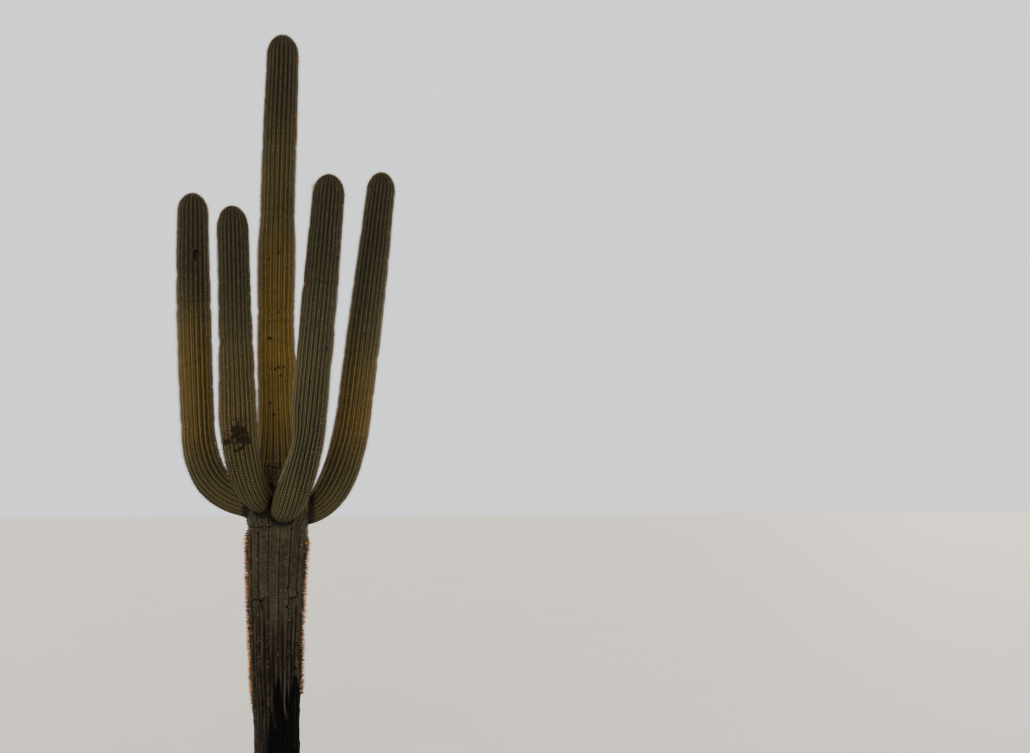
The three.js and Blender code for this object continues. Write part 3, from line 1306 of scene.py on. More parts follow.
@dataclass(frozen=True)
class SkinFinish:
    """Living skin: waxy olive green, a painted highlight beside the crests, painted shade in the
    grooves.
    """

    name: str
    # shade: the painted shade in the grooves, and the darker mottle
    shade: Colour = paint(27, 23, 12)
    body: Colour = paint(46, 45, 26)
    sunned: Colour = paint(57, 55, 32)
    # ridge: the painted highlight beside the crests and on young crests
    ridge: Colour = paint(132, 122, 84)
    line: Colour = paint(22, 17, 9)
    # the colour of old skin, its gold partly painted warm light
    aged_and_sunlit: Colour = paint(84, 67, 31)
    fresh: Colour = paint(36, 32, 18)
    cork: Colour = paint(47, 36, 23)

    def ground(self, bench: Bench) -> tuple[Signal, Signal, Signal]:
        """Lays down the unhurt skin.

        Args:
            bench: The material.

        Returns:
            Its colour, roughness and fine relief.
        """
        place = bench.limb_place()
        groove = bench.mask("groove")
        age, youth, tip = bench.mask("age"), bench.mask("youth"), bench.mask("tip")
        patches = bench.noise(place, 2.6, 4)
        mottle = bench.noise(bench.limb_place((1, 1, 0.45)), 34, 5, 0.65)
        bands = bench.noise(bench.limb_place((0.25, 0.25, 1)), 26, 3)
        specks = bench.noise(place, 130, 3)
        grain = bench.noise(bench.limb_place((1, 1, 0.6)), 75, 3, 0.6)
        # the body: bleached in patches, gold where old (partly painted warm light), dark where new
        sunned = (patches * 0.7 + mottle * 0.3).eased(0.42, 0.62)
        colour = bench.blend(sunned, self.body, self.sunned)
        colour = bench.blend(age * (0.45 + patches * 0.6), colour, self.aged_and_sunlit)
        colour = bench.blend(bands.eased(0.5, 0.72) * 0.25, colour, self.shade)
        colour = bench.blend(youth * 0.86, colour, self.fresh)
        # painted highlights: pale flanks beside the crests with a bead at each areole, and young
        # crests
        beads = bench.beads()
        flank_highlight = groove.eased(0.03, 0.09) * groove.eased(0.34, 0.18) * (1 - youth)
        crown_highlight = groove.eased(0.45, 0.12) * youth
        light = flank_highlight * (0.10 + beads * 1.1) + crown_highlight * 0.20
        colour = bench.blend(light * (0.35 + grain * 0.65), colour, self.ridge)
        # dark lines down the crests, and painted shade in the hollows between the ribs
        crest = groove.eased(0.06, 0.02) * (1 - youth * 0.8)
        colour = bench.blend(crest * (0.30 + beads * 0.68), colour, self.line)
        hollow = groove.eased(0.42, 0.92) * (1 - youth) + groove.eased(0.72, 0.98) * youth * 0.8
        colour = bench.blend(hollow * 0.6, colour, self.shade)
        # corky freckles, grain and specks
        corky = mottle.eased(0.62, 0.76) * 0.8
        colour = bench.blend(corky, colour, self.cork)
        colour = bench.blend(grain.eased(0.52, 0.70) * 0.30, colour, self.shade)
        dark = specks.eased(0.45, 0.75) * 0.35 + tip * grain.eased(0.40, 0.60) * 0.5
        colour = bench.blend(dark, colour, self.shade)
        height = specks * 0.35 + mottle * 0.4 + bands * 0.25
        roughness = 0.5 + corky * 0.3 + specks * 0.15 + age * 0.1
        return colour, roughness, height

    def material(self) -> bpy.types.Material:
        """Makes the material, with the marks laid over the skin.

        Returns:
            The material.
        """
        made = bpy.data.materials.get(self.name)
        if made is not None:
            return made
        bench = Bench(self.name)
        colour, roughness, height = self.ground(bench)
        place = bench.limb_place()
        coarse = bench.noise(place, 60, 5, 0.65)
        fine = bench.noise(place, 240, 3, 0.6)
        scab, gnarl, tan, rust, pit = (bench.mask(mark.value) for mark in Mark)
        char, crack, crease = bench.mask("char"), bench.mask("crack"), bench.mask("crease")
        # what has healed, and on the tan mask the painted highlights beside two crests
        colour = bench.blend(tan * (0.15 + coarse * 0.35), colour, paint(82, 74, 44))
        colour = bench.blend(rust * coarse.eased(0.38, 0.58) * 0.75, colour, paint(50, 35, 23))
        healed = bench.blend(coarse.eased(0.40, 0.60), paint(34, 25, 19), paint(78, 64, 49))
        colour = bench.blend(gnarl * 0.85, colour, healed)
        colour = bench.blend((pit + coarse * 0.5).eased(0.45, 0.9) * 0.85, colour, paint(18, 13, 9))
        # what lies open or burnt, with painted shade in the creases and partly in the cracks
        scab = (scab * 1.6 + coarse * 1.6 - 1.10).eased(0.0, 0.95)
        scabbed = bench.blend(coarse.eased(0.42, 0.66), paint(17, 12, 8), paint(40, 31, 19))
        colour = bench.blend(scab * 0.92, colour, scabbed)
        colour = bench.blend(crack.eased(0.25, 0.8) * 0.9, colour, paint(15, 11, 8))
        crease_shade = (crease + coarse * 0.3 - 0.15).eased(0.12, 0.92) * 0.88
        colour = bench.blend(crease_shade, colour, paint(17, 13, 9))
        charred = bench.blend(fine.eased(0.5, 0.8), paint(2, 2, 2), paint(10, 8, 7))
        char = (char + (coarse - 0.5) * 0.5).eased(0.15, 0.75)
        colour = bench.blend(char * 0.985, colour, charred)
        wear_and_highlight = scab.larger(char).larger(gnarl)
        roughness = roughness + wear_and_highlight * 0.3
        height = height + wear_and_highlight * (coarse * 1.6 + fine * 0.5)
        bench.finish(colour, roughness, height, 0.0035)
        bench.shader.inputs["Specular IOR Level"].default_value = 0.12
        return bench.material


@dataclass(frozen=True)
class BarkFinish(SkinFinish):
    """Old skin on the lower trunk: grey-olive bands between dark lines, and strips below."""

    # shade: the painted shade in fissures and grooves, and the darker pebbles and specks
    shade: Colour = paint(21, 16, 11)
    body: Colour = paint(45, 41, 28)
    sunned: Colour = paint(59, 53, 36)
    # ridge: pale scales and strip middles, and the painted highlight beside the crests
    ridge: Colour = paint(92, 84, 64)
    line: Colour = paint(14, 11, 8)
    cork: Colour = paint(44, 33, 29)

    def ground(self, bench: Bench) -> tuple[Signal, Signal, Signal]:
        """Lays down the bark.

        Args:
            bench: The material.

        Returns:
            Its colour, roughness and fine relief.
        """
        groove = bench.mask("groove")
        low = bench.mask("age")
        patches = bench.noise(bench.limb_place((1, 1, 0.5)), 4, 4)
        streaks = bench.noise(bench.limb_place((1, 1, 0.07)), 55, 4, 0.6)
        scales = bench.noise(bench.limb_place((0.5, 0.5, 1)), 95, 3, 0.6)
        pebbles = bench.noise(bench.limb_place(), 70, 3, 0.6)
        specks = bench.noise(bench.limb_place(), 220, 3)
        # the bands, scaly and pebbled
        colour = bench.blend(patches.eased(0.4, 0.6), self.body, self.sunned)
        colour = bench.blend(scales.eased(0.52, 0.58) * 0.60, colour, self.cork)
        colour = bench.blend(scales.eased(0.48, 0.41) * 0.42, colour, self.ridge)
        colour = bench.blend(pebbles.eased(0.54, 0.64) * 0.35, colour, self.shade)
        # the strips of bark low down: pale along their middles, painted shade in fissures and
        # grooves
        purple = (patches * 0.5 + streaks * 0.5).eased(0.44, 0.56) * low
        colour = bench.blend(low * 0.50 + purple * 0.35, colour, self.cork)
        strip = groove.eased(0.07, 0.22) * groove.eased(0.60, 0.40) * low
        colour = bench.blend(strip * streaks.eased(0.46, 0.62) * 0.58, colour, self.ridge)
        fissure = streaks.eased(0.46, 0.38) * low
        colour = bench.blend(fissure * 0.8, colour, self.shade)
        colour = bench.blend(groove.eased(0.50, 0.80) * low * 0.9, colour, self.shade)
        # the crests: a painted highlight beside them, and a dark line down each
        lit = groove.eased(0.02, 0.06) * groove.eased(0.17, 0.09) * (1 - low)
        colour = bench.blend(lit * (0.3 + scales * 0.5), colour, self.ridge)
        line = (groove - low * 0.035 + scales * 0.03).eased(0.052, 0.020)
        colour = bench.blend(line * (0.40 + bench.beads() * 0.55), colour, self.line)
        colour = bench.blend(specks.eased(0.5, 0.8) * 0.4, colour, self.shade)
        colour = bench.blend(low * 0.25, colour, paint(17, 13, 12))
        relief = specks * 0.2 + scales * 0.45 + streaks * (0.3 + low) - fissure * 0.5
        roughness = 0.7 + low * 0.15 + specks * 0.1
        return colour, roughness, relief


@dataclass(frozen=True)
class HoleLining:
    """The dark cork that a cactus grows round a nest."""

    name: str = "nest_lining"
    dark: Colour = paint(26, 19, 9)
    pale: Colour = paint(56, 42, 20)

    def material(self) -> bpy.types.Material:
        """Makes the material.

        Returns:
            The material.
        """
        bench = Bench(self.name)
        place = bench.node("ShaderNodeTexCoord", result="Object")
        lumps = bench.noise(place, 120, 5, 0.6)
        colour = bench.blend(lumps.eased(0.4, 0.65), self.dark, self.pale)
        bench.finish(colour, 0.8 + lumps * 0.15, lumps, 0.003)
        return bench.material


class Tint(Enum):
    """The colours of spines and areoles, dealt out one to a spine or areole."""

    # gold and amber are dealt to spines at the sides and back as a painted glow, dark to those in
    # painted shade
    GOLD = ("spine_gold", paint(238, 166, 36))
    AMBER = ("spine_amber", paint(208, 104, 20))
    STRAW = ("spine_straw", paint(120, 104, 62))
    GREY = ("spine_grey", paint(74, 68, 45))
    DARK = ("spine_dark", paint(33, 26, 15))
    FELT = ("felt_grey", paint(94, 86, 58))
    BROWN_FELT = ("felt_brown", paint(22, 17, 12))
    TIP_FELT = ("felt_tan", paint(104, 84, 50))

    def material(self) -> bpy.types.Material:
        """The tint's material, made the first time it is asked for.

        Returns:
            The material.
        """
        name, colour = self.value
        made = bpy.data.materials.get(name)
        if made is not None:
            return made
        bench = Bench(name)
        bench.shader.inputs["Base Color"].default_value = colour
        felt = name.startswith("felt")
        bench.shader.inputs["Roughness"].default_value = 0.95 if felt else 0.5
        bench.shader.inputs["Specular IOR Level"].default_value = 0.15 if felt else 0.25
        return bench.material


@dataclass(frozen=True)
class SpineHabit:
    """How a limb is armed. Each tint has its weight in front and at the sides, where gold is
    painted glow.
    """

    spacing: float = 0.0180
    radial: int = 6
    central: int = 3
    radial_lean: tuple[float, float] = (52, 78)  # off the skin's own direction, in degrees
    central_lean: tuple[float, float] = (4, 42)
    length: float = 0.016
    central_length: float = 0.024
    thickness: float = 0.0010
    sideways_length: float = 1.0  # at the sides of the limb, as a multiple
    sideways_thickness: float = 2.4
    lying_glow: float = 0.45  # how much of the painted glow the flat ones take beside those that stand out
    areole_width: float = 0.0040
    areole_stretch: float = 1.35
    areole_height: float = 0.0026
    tints: tuple[tuple[Tint, float, float], ...] = (
        (Tint.GOLD, 0.0, 0.44),
        (Tint.AMBER, 0.0, 0.04),
        (Tint.STRAW, 0.12, 0.30),
        (Tint.GREY, 0.26, 0.12),
        (Tint.DARK, 0.62, 0.10),
    )


PAD_SIDES = 5
SPINE_SIDES = 3
PAD_SINK = 0.0012  # how deep a pad is sunk in the skin
SPINE_RISE = 0.0012  # how high inside its pad a spine starts


@dataclass(frozen=True)
class Pattern:
    """The mesh of one small thing, to be copied many times."""

    points: np.ndarray
    faces: np.ndarray

    @classmethod
    def cone(cls, sides: int) -> "Pattern":
        """A closed cone of radius and height 1 that stands on the origin.

        Args:
            sides: How many sides it has.

        Returns:
            Its mesh.
        """
        bm = bmesh.new()
        bmesh.ops.create_cone(
            bm, cap_ends=True, cap_tris=False, segments=sides, radius1=1, radius2=0, depth=1
        )
        bmesh.ops.remove_doubles(bm, verts=bm.verts, dist=1e-5)
        bmesh.ops.translate(bm, verts=bm.verts, vec=(0, 0, 0.5))
        bmesh.ops.triangulate(bm, faces=bm.faces)
        bm.verts.index_update()
        points = np.array([vert.co for vert in bm.verts])
        faces = np.array([[vert.index for vert in face.verts] for face in bm.faces])
        bm.free()
        return cls(points, faces)

    def strewn(
        self, at: np.ndarray, across: np.ndarray, along: np.ndarray, out: np.ndarray
    ) -> tuple[np.ndarray, np.ndarray]:
        """Copies of the pattern.

        Args:
            at: Where each copy's origin goes.
            across: Each copy's first axis, as long as one unit of it.
            along: Its second axis.
            out: Its third axis.

        Returns:
            The points and the triangles of all copies, in order.
        """
        x, y, z = self.points.T[:, None, :, None]
        points = at[:, None] + x * across[:, None] + y * along[:, None] + z * out[:, None]
        shift = np.arange(len(at))[:, None, None] * len(self.points)
        return points.reshape(-1, 3), (self.faces + shift).reshape(-1, 3)


def join_pieces(
    name: str,
    pattern: Pattern,
    axes: tuple[np.ndarray, np.ndarray, np.ndarray, np.ndarray],
    tints: list[Tint],
    dealt: np.ndarray,
) -> None:
    """Joins copies of a pattern into pieces that each stay under the limit.

    Args:
        name: What the pieces are called.
        pattern: What is copied.
        axes: The origins and the three axes of the copies.
        tints: The tints in use.
        dealt: The number of each copy's tint.
    """
    parts = math.ceil(len(dealt) * len(pattern.faces) / MOST_TRIANGLES)
    for number, chosen in enumerate(np.array_split(np.arange(len(dealt)), parts), 1):
        points, faces = pattern.strewn(*(axis[chosen] for axis in axes))
        label = f"{name}_{number}" if parts > 1 else name
        mesh = bpy.data.meshes.new(label)
        mesh.vertices.add(len(points))
        mesh.vertices.foreach_set("co", points.ravel())
        mesh.loops.add(faces.size)
        mesh.loops.foreach_set("vertex_index", faces.ravel())
        mesh.polygons.add(len(faces))
        mesh.polygons.foreach_set("loop_start", np.arange(len(faces)) * 3)
        mesh.polygons.foreach_set("material_index", np.repeat(dealt[chosen], len(pattern.faces)))
        mesh.polygons.foreach_set("use_smooth", np.ones(len(faces), bool))
        mesh.update(calc_edges=True)
        for tint in tints:
            mesh.materials.append(tint.material())
        piece = bpy.data.objects.new(label, mesh)
        bpy.context.scene.collection.objects.link(piece)
        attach(piece, "root")
        report(piece)


@dataclass(frozen=True)
class Areoles:
    """A limb's areoles: points on its crests and what is known of each, in the same order."""

    along: np.ndarray  # places on the limb
    at: np.ndarray  # points on the skin
    across: np.ndarray  # the direction across the rib
    lengthwise: np.ndarray  # the direction along it
    outward: np.ndarray  # the direction out of the skin
    sheltered: np.ndarray  # how far other limbs shade it or fire has singed it, from 0 to 1


@dataclass
class Armour:
    """The areoles and spines on the crests of a limb."""

    limb: Limb
    crowded: float = 0.0065  # neighbouring ribs nearer than this share their areoles
    worst_hurt: float = 0.35  # no areole is left where a wound covers more
    step: float = 0.004  # how far from an areole the skin and the room round it are tried
    buried: float = 0.006  # how deep in another limb an areole may still stand
    hole_margin: float = 1.45  # how far off a nest hole they start, where its edge is 1

    def build(self) -> None:
        """Makes the areoles and spines of the limb."""
        areoles = self.seated()
        self.build_pads(areoles)
        self.build_spines(areoles)

    def counted(self) -> tuple[np.ndarray, np.ndarray]:
        """Places of the areoles: one row on each crest, thinned out where the ribs meet.

        Returns:
            Their places along the limb and the angles of their ribs.
        """
        limb = self.limb
        draw = np.random.default_rng(limb.seed + 24)
        places, passed = limb.areole_beat()
        count = int(passed[-1])
        steps = np.arange(count) + limb.offbeat[:, None]
        along = np.interp(steps + draw.uniform(-0.08, 0.08, steps.shape), passed, places)
        ribs = np.repeat(np.arange(limb.rib_count)[:, None], count, axis=1)
        along, ribs = along.ravel(), ribs.ravel()
        gap = limb.radius(np.minimum(along, limb.end)) * math.tau / limb.rib_count
        kept = (along < limb.end - 0.0003) & ((gap > self.crowded) | (ribs % 3 == 0))
        return along[kept], ribs[kept] * math.tau / limb.rib_count

    def seated(self) -> Areoles:
        """Sets the areoles on the skin, and leaves out those in wounds and in other limbs.

        Returns:
            The areoles.
        """
        limb = self.limb
        along, angle = self.counted()
        at = limb.skin(along, angle)
        lengthwise = limb.skin(along + self.step, angle) - limb.skin(along - self.step, angle)
        lengthwise = unit(lengthwise)
        outward = at - limb.rings(along).centre
        outward = unit(outward - lengthwise * (outward * lengthwise).sum(axis=1)[:, None])
        masks = limb.masks(along, angle, at)
        wounds = (Mark.SCAB.value, Mark.GNARL.value, "crack")
        hurt = np.max([masks[name] for name in wounds], axis=0)
        hurt = np.maximum(hurt, 0.55 * masks["char"])
        free = self.free(at + outward * self.step) & (hurt < self.worst_hurt)
        along, at = along[free], at[free]
        lengthwise, outward = lengthwise[free], outward[free]
        across = np.cross(lengthwise, outward)
        return Areoles(along, at, across, lengthwise, outward, self.shelter(at, outward))

    def free(self, points: np.ndarray) -> np.ndarray:
        """Which points lie outside every other limb, and off a nest hole.

        Args:
            points: Points on this limb, one to a row.

        Returns:
            True for each such point.
        """
        free = np.ones(len(points), bool)
        for other in self.limb.neighbours:
            centres, radii = other.shell()
            away = np.linalg.norm(points[:, None] - centres[None], axis=2) - radii
            free &= away.min(axis=1) > -self.buried
        if self.limb.hole is not None:
            free &= self.limb.hole.reach(points) > self.hole_margin
        return free

    def shelter(self, at: np.ndarray, outward: np.ndarray) -> np.ndarray:
        """How far other limbs shade the areoles, or fire has singed them.

        Args:
            at: Points on the skin.
            outward: Directions out of it.

        Returns:
            Shares from 0 to 1.
        """
        limb = self.limb
        near = np.where(outward[:, 0] > 0, limb.right_shelter, limb.left_shelter)
        top = 3.1 + 0.5 * ease(-0.1, 0.1, at[:, 0])  # the gaps on the right open higher up
        shaded = ease(1, 0.5, limb.gap(at) / near) * ease(0, -0.3, at[:, 2] - top)
        singed = ease(limb.singed_below, limb.singed_below - 0.35, at[:, 2])
        return np.maximum(shaded, singed)

    def build_pads(self, areoles: Areoles) -> None:
        """Makes a low felt pad on each areole.

        Args:
            areoles: The limb's areoles.
        """
        limb, habit = self.limb, self.limb.spines
        draw = np.random.default_rng(limb.seed + 21)
        youth = limb.youth(areoles.along)
        size = draw.uniform(0.8, 1.15, (len(areoles.at), 1))
        size *= 1 + 0.35 * youth[:, None]
        young = draw.uniform(0, 1, len(areoles.at)) < youth
        newest = young & (limb.end - areoles.along < 0.10)
        axes = (
            areoles.at - areoles.outward * PAD_SINK,
            areoles.across * size * habit.areole_width,
            areoles.lengthwise * size * habit.areole_width * habit.areole_stretch,
            areoles.outward * size * (habit.areole_height + PAD_SINK),
        )
        tints = [Tint.BROWN_FELT, Tint.FELT, Tint.TIP_FELT]
        dealt = young.astype(int) + newest
        join_pieces(f"{limb.name}_areoles", Pattern.cone(PAD_SIDES), axes, tints, dealt)

    def build_spines(self, areoles: Areoles) -> None:
        """Makes the spines: a flat star of radials and a few longer ones that stand out.

        Args:
            areoles: The limb's areoles.
        """
        limb, habit = self.limb, self.limb.spines
        draw = np.random.default_rng(limb.seed + 22)
        each = habit.radial + habit.central
        standing = np.arange(each) >= habit.radial
        # spines below or sheltered go dark as painted shade, spines at the sides gold as painted
        # glow
        shaded = np.maximum(ease(*SHADED_SPINES, areoles.outward[:, 2]), areoles.sheltered)
        sideways = ease(*LIMB_SIDE, np.abs(areoles.outward[:, 1])) * (1 - shaded)
        heading = self.headings(areoles, standing, draw)
        length = self.lengths(areoles, standing, draw)
        backlit_glow = self.backlit_glow(areoles, shaded, sideways)[:, None]
        backlit_glow = backlit_glow * np.where(standing, 1, habit.lying_glow)
        dealt = self.deal(backlit_glow, shaded, draw)
        length *= (1 + (habit.sideways_length - 1) * sideways)[:, None]
        thickness = habit.thickness * (1 + (habit.sideways_thickness - 1) * sideways)
        thickness = np.repeat(thickness, each)[:, None]
        root = np.repeat(areoles.at + areoles.outward * SPINE_RISE, each, axis=0)
        askew = np.repeat(areoles.lengthwise, each, axis=0) + [0.01, 0.02, 0.005]
        first = unit(np.cross(heading, askew))
        second = np.cross(heading, first)
        axes = (root, first * thickness, second * thickness, heading * length.reshape(-1, 1))
        tints = [tint for tint, _, _ in habit.tints]
        join_pieces(f"{limb.name}_spines", Pattern.cone(SPINE_SIDES), axes, tints, dealt)

    def headings(
        self, areoles: Areoles, standing: np.ndarray, draw: np.random.Generator
    ) -> np.ndarray:
        """Aims the spines.

        Args:
            areoles: The limb's areoles.
            standing: Which of an areole's spines stand out.
            draw: Where the random numbers come from.

        Returns:
            The direction of each spine, one to a row.
        """
        habit, shape = self.limb.spines, (len(areoles.at), len(standing))
        turn = np.arange(len(standing)) / habit.radial * math.tau + draw.uniform(-0.3, 0.3, shape)
        turn = np.where(standing, draw.uniform(0, math.tau, shape), turn)
        lean = draw.uniform(*habit.radial_lean, shape)
        lean = np.radians(np.where(standing, draw.uniform(*habit.central_lean, shape), lean))
        spread = np.sin(lean)[..., None]
        return (
            areoles.across[:, None] * np.cos(turn)[..., None] * spread
            + areoles.lengthwise[:, None] * np.sin(turn)[..., None] * spread
            + areoles.outward[:, None] * np.cos(lean)[..., None]
        ).reshape(-1, 3)

    def lengths(
        self, areoles: Areoles, standing: np.ndarray, draw: np.random.Generator
    ) -> np.ndarray:
        """Draws the lengths of the spines: longest at the tuft, short in shelter and behind.

        Args:
            areoles: The limb's areoles.
            standing: Which of an areole's spines stand out.
            draw: Where the random numbers come from.

        Returns:
            The lengths, a row to an areole.
        """
        limb, habit = self.limb, self.limb.spines
        length = draw.uniform(0.7, 1.1, (len(areoles.at), len(standing)))
        length *= np.where(standing, habit.central_length, habit.length)
        tufted = ease(0.030, 0.010, np.linalg.norm(areoles.at - limb.tuft, axis=1))
        length *= 1 + 1.3 * tufted[:, None]
        behind = ease(*BEHIND, areoles.outward[:, 1])
        length *= (1 - 0.7 * areoles.sheltered - 0.3 * behind)[:, None]
        return length

    def backlit_glow(self, areoles: Areoles, shaded: np.ndarray, sideways: np.ndarray) -> np.ndarray:
        """How far each areole's standing spines take gold tints as painted glow: most at the limb's
        sides.

        Args:
            areoles: The limb's areoles.
            shaded: How far each lies in the shade.
            sideways: How far each lies at a side of the limb.

        Returns:
            Shares from 0 to 1.
        """
        outward = areoles.outward
        behind = 0.20 * ease(0.9, 0.1, outward[:, 1]) * (outward[:, 1] > 0) * (1 - shaded)
        crowning = ease(0.3, 0.8, outward[:, 2]) * ease(-0.5, -0.1, outward[:, 1])
        return np.maximum.reduce([sideways, behind, 0.6 * crowning])

    def deal(
        self, backlit_glow: np.ndarray, shaded: np.ndarray, draw: np.random.Generator
    ) -> np.ndarray:
        """Deals a tint to each spine. About half of them take after their areole.

        Args:
            backlit_glow: How far each spine may take the gold tints as painted glow, a row to an
                areole.
            shaded: How far each areole lies in the shade.
            draw: Where the random numbers come from.

        Returns:
            The number of each spine's tint.
        """
        tints = [tint for tint, _, _ in self.limb.spines.tints]
        in_front = np.cumsum([weight for _, weight, _ in self.limb.spines.tints])
        elsewhere = np.cumsum([weight for _, _, weight in self.limb.spines.tints])
        weights = in_front + (elsewhere - in_front) * backlit_glow[..., None]
        areole_mood = draw.uniform(0, 1, (len(backlit_glow), 1))
        own_mood = draw.uniform(0, 1, backlit_glow.shape)
        mood = np.where(draw.uniform(0, 1, backlit_glow.shape) < 0.5, areole_mood, own_mood)
        dealt = (mood[..., None] > weights).sum(axis=2).clip(0, len(tints) - 1)
        # painted shade: spines in the shade are dealt the dark tint
        darkened = draw.uniform(0, 1, backlit_glow.shape) < 0.9 * shaded[:, None]
        return np.where(darkened, tints.index(Tint.DARK), dealt).ravel()


OLD_SPINES = SpineHabit(
    spacing=0.0195,
    radial=7,
    central=11,
    length=0.018,
    central_length=0.035,
    thickness=0.0026,
    sideways_length=1.15,
    sideways_thickness=1.4,
    lying_glow=0.3,
    areole_width=0.0066,
    areole_stretch=0.85,
    areole_height=0.0036,
    tints=(
        (Tint.GOLD, 0.0, 0.14),
        (Tint.AMBER, 0.0, 0.40),
        (Tint.STRAW, 0.05, 0.20),
        (Tint.GREY, 0.30, 0.10),
        (Tint.DARK, 0.65, 0.16),
    ),
)
YOUNG_SPINES = SpineHabit()


STEM_SKIN = SkinFinish(
    "waxy_stem",
    body=paint(50, 47, 25),
    sunned=paint(60, 55, 29),
    ridge=paint(142, 118, 60),
    aged_and_sunlit=paint(130, 103, 43),
    fresh=paint(29, 27, 16),
)
ARM_SKIN = SkinFinish("waxy_arm")
OUTER_ARM_SKIN = replace(ARM_SKIN, name="sunlit_arm", aged_and_sunlit=paint(112, 88, 36))


def lower_trunk() -> OldWood:
    """The old trunk, from the ground to the shoulder that carries the arms."""
    return OldWood(
        name="lower_trunk",
        rib_count=17,
        facing=-84.7,
        seed=11,
        end=2.112,
        finish=BarkFinish("old_bark"),
        spines=OLD_SPINES,
        tip_length=0.0,
        columns_per_rib=16,
        row_step=0.0074,
        bare_from=0.28,
        singed_below=0.78,
        left_shelter=0.15,
        right_shelter=0.15,
        depths=SmoothCurve(
            (0, 0.03), (0.5, 0.065), (1.36, 0.08), (1.48, 0.045), (1.88, 0.04), (2.0, 0.03)
        ),
    )


def upper_trunk() -> YoungWood:
    """The upper trunk, from the shoulder to its tip."""
    return YoungWood(
        name="upper_trunk",
        rib_count=21,
        facing=-94,
        seed=23,
        start=2.090,
        end=TRUNK_HEIGHT,
        finish=STEM_SKIN,
        spines=YOUNG_SPINES,
        tip_length=0.19,
        columns_per_rib=12,
        row_step=0.0113,
        bare_from=2.115,
        old_before=(3.4, 4.7),
        right_shelter=0.75,
        sunlit_above=(2.45, 2.98),
        depths=SmoothCurve(
            (2.08, 0.03), (2.2, 0.06), (2.7, 0.09), (4, 0.095), (4.9, 0.105), (5.5, 0.115)
        ),
        waists=(
            Waist(0.530, 0.0031, 0.0015),
            Waist(0.950, 0.0055, 0.0046),
            Waist(1.263, 0.0028, 0.0010),
            Waist(1.421, 0.0031, 0.0012),
            Waist(1.521, 0.0060, 0.0057),
            Waist(1.604, 0.0040, 0.0010),
            Waist(1.862, 0.0015, 0.0031),
            Waist(2.310, 0.0079, 0.0050),
            Waist(2.412, 0.0030, 0.0043),
            Waist(2.90, 0.0030, 0.0025),
            Waist(2.740, 0.0, -0.0150, 0.105),  # swells on the right
        ),
    )


def right_inner_arm() -> Arm:
    """The arm in front on the right, with a tuft of long spines beside its tip."""
    return Arm(
        name="right_inner_arm",
        rib_count=23,
        facing=-90,
        seed=37,
        finish=ARM_SKIN,
        spines=YOUNG_SPINES,
        azimuth=277,
        rise=-14,
        height=2.164,
        root_pull=0.330,
        upright_pull=0.155,
        elbow_top=(0.149, -0.420, 2.720),
        tip=(0.277, -0.440, 4.702),
        bow=0.005,
        neck=0.094,
        elbow=0.132,
        waist=0.134,
        middle=0.130,
        upper=0.119,
        waists=(
            Waist(0.415, 0.0036, 0.0028),
            Waist(0.875, 0.0055, 0.0037),
            Waist(1.183, 0.0025, 0.0047),
            Waist(1.520, 0.0030, 0.0030),
            Waist(2.130, 0.0260, 0.0, 0.22),  # its left flank is drawn in
        ),
        tuft=(0.158, -0.430, 4.622),
        left_shelter=0.75,
        old_before=(0.1, 0.6),
    )


def left_inner_arm() -> Arm:
    """The arm in front on the left, the shortest."""
    return Arm(
        name="left_inner_arm",
        rib_count=22,
        facing=-87,
        seed=41,
        finish=ARM_SKIN,
        spines=YOUNG_SPINES,
        azimuth=241,
        rise=-13,
        height=2.228,
        root_pull=0.250,
        upright_pull=0.150,
        old_before=(0.6, 2.0),
        elbow_top=(-0.361, -0.385, 2.820),
        tip=(-0.452, -0.400, 4.415),
        neck=0.104,
        elbow=0.124,
        waist=0.136,
        middle=0.118,
        upper=0.112,
        waists=(
            Waist(0.089, 0.0044, 0.0010),
            Waist(0.439, 0.0015, 0.0031),
            Waist(0.584, 0.0029, 0.0010),
            Waist(0.785, 0.0041, 0.0031),
            Waist(1.040, 0.0061, 0.0047),
            Waist(1.300, 0.0030, 0.0040),
        ),
    )


def right_outer_arm() -> Arm:
    """The outer arm on the right, the tallest."""
    return Arm(
        name="right_outer_arm",
        rib_count=21,
        facing=-94,
        seed=53,
        finish=OUTER_ARM_SKIN,
        spines=YOUNG_SPINES,
        azimuth=13,
        rise=-14,
        height=2.133,
        root_pull=0.210,
        upright_pull=0.150,
        old_before=(0.9, 2.0),
        elbow_top=(0.515, 0.080, 2.800),
        tip=(0.732, 0.090, 4.918),
        bow=0.006,
        neck=0.104,
        elbow=0.142,
        waist=0.139,
        middle=0.134,
        upper=0.115,
        waists=(
            Waist(0.500, 0.0038, 0.0031),
            Waist(0.737, 0.0010, 0.0036),
            Waist(0.980, 0.0028, 0.0038),
            Waist(1.125, 0.0035, 0.0010),
            Waist(1.495, 0.0033, 0.0010),
            Waist(1.580, 0.0050, 0.0043),
            Waist(1.885, 0.0035, 0.0033),
            Waist(2.000, 0.0042, 0.0020),
        ),
    )


def left_outer_arm() -> Arm:
    """The outer arm on the left, with the nest hole."""
    return Arm(
        name="left_outer_arm",
        rib_count=20,
        facing=-75,
        seed=67,
        finish=OUTER_ARM_SKIN,
        spines=YOUNG_SPINES,
        hole=NestHole(),
        azimuth=171,
        rise=12,
        height=2.112,
        root_pull=0.250,
        upright_pull=0.385,
        old_before=(1.2, 2.4),
        elbow_top=(-0.684, 0.095, 2.760),
        tip=(-0.787, 0.100, 4.640),
        bow=-0.013,
        neck=0.112,
        elbow=0.131,
        waist=0.125,
        middle=0.129,
        upper=0.117,
        waists=(
            Waist(0.660, 0.0043, 0.0030),
            Waist(0.915, 0.0060, 0.0060),
            Waist(1.200, 0.0035, 0.0025),
            Waist(1.560, 0.0037, 0.0025),
            Waist(1.870, 0.0041, 0.0030),
        ),
    )


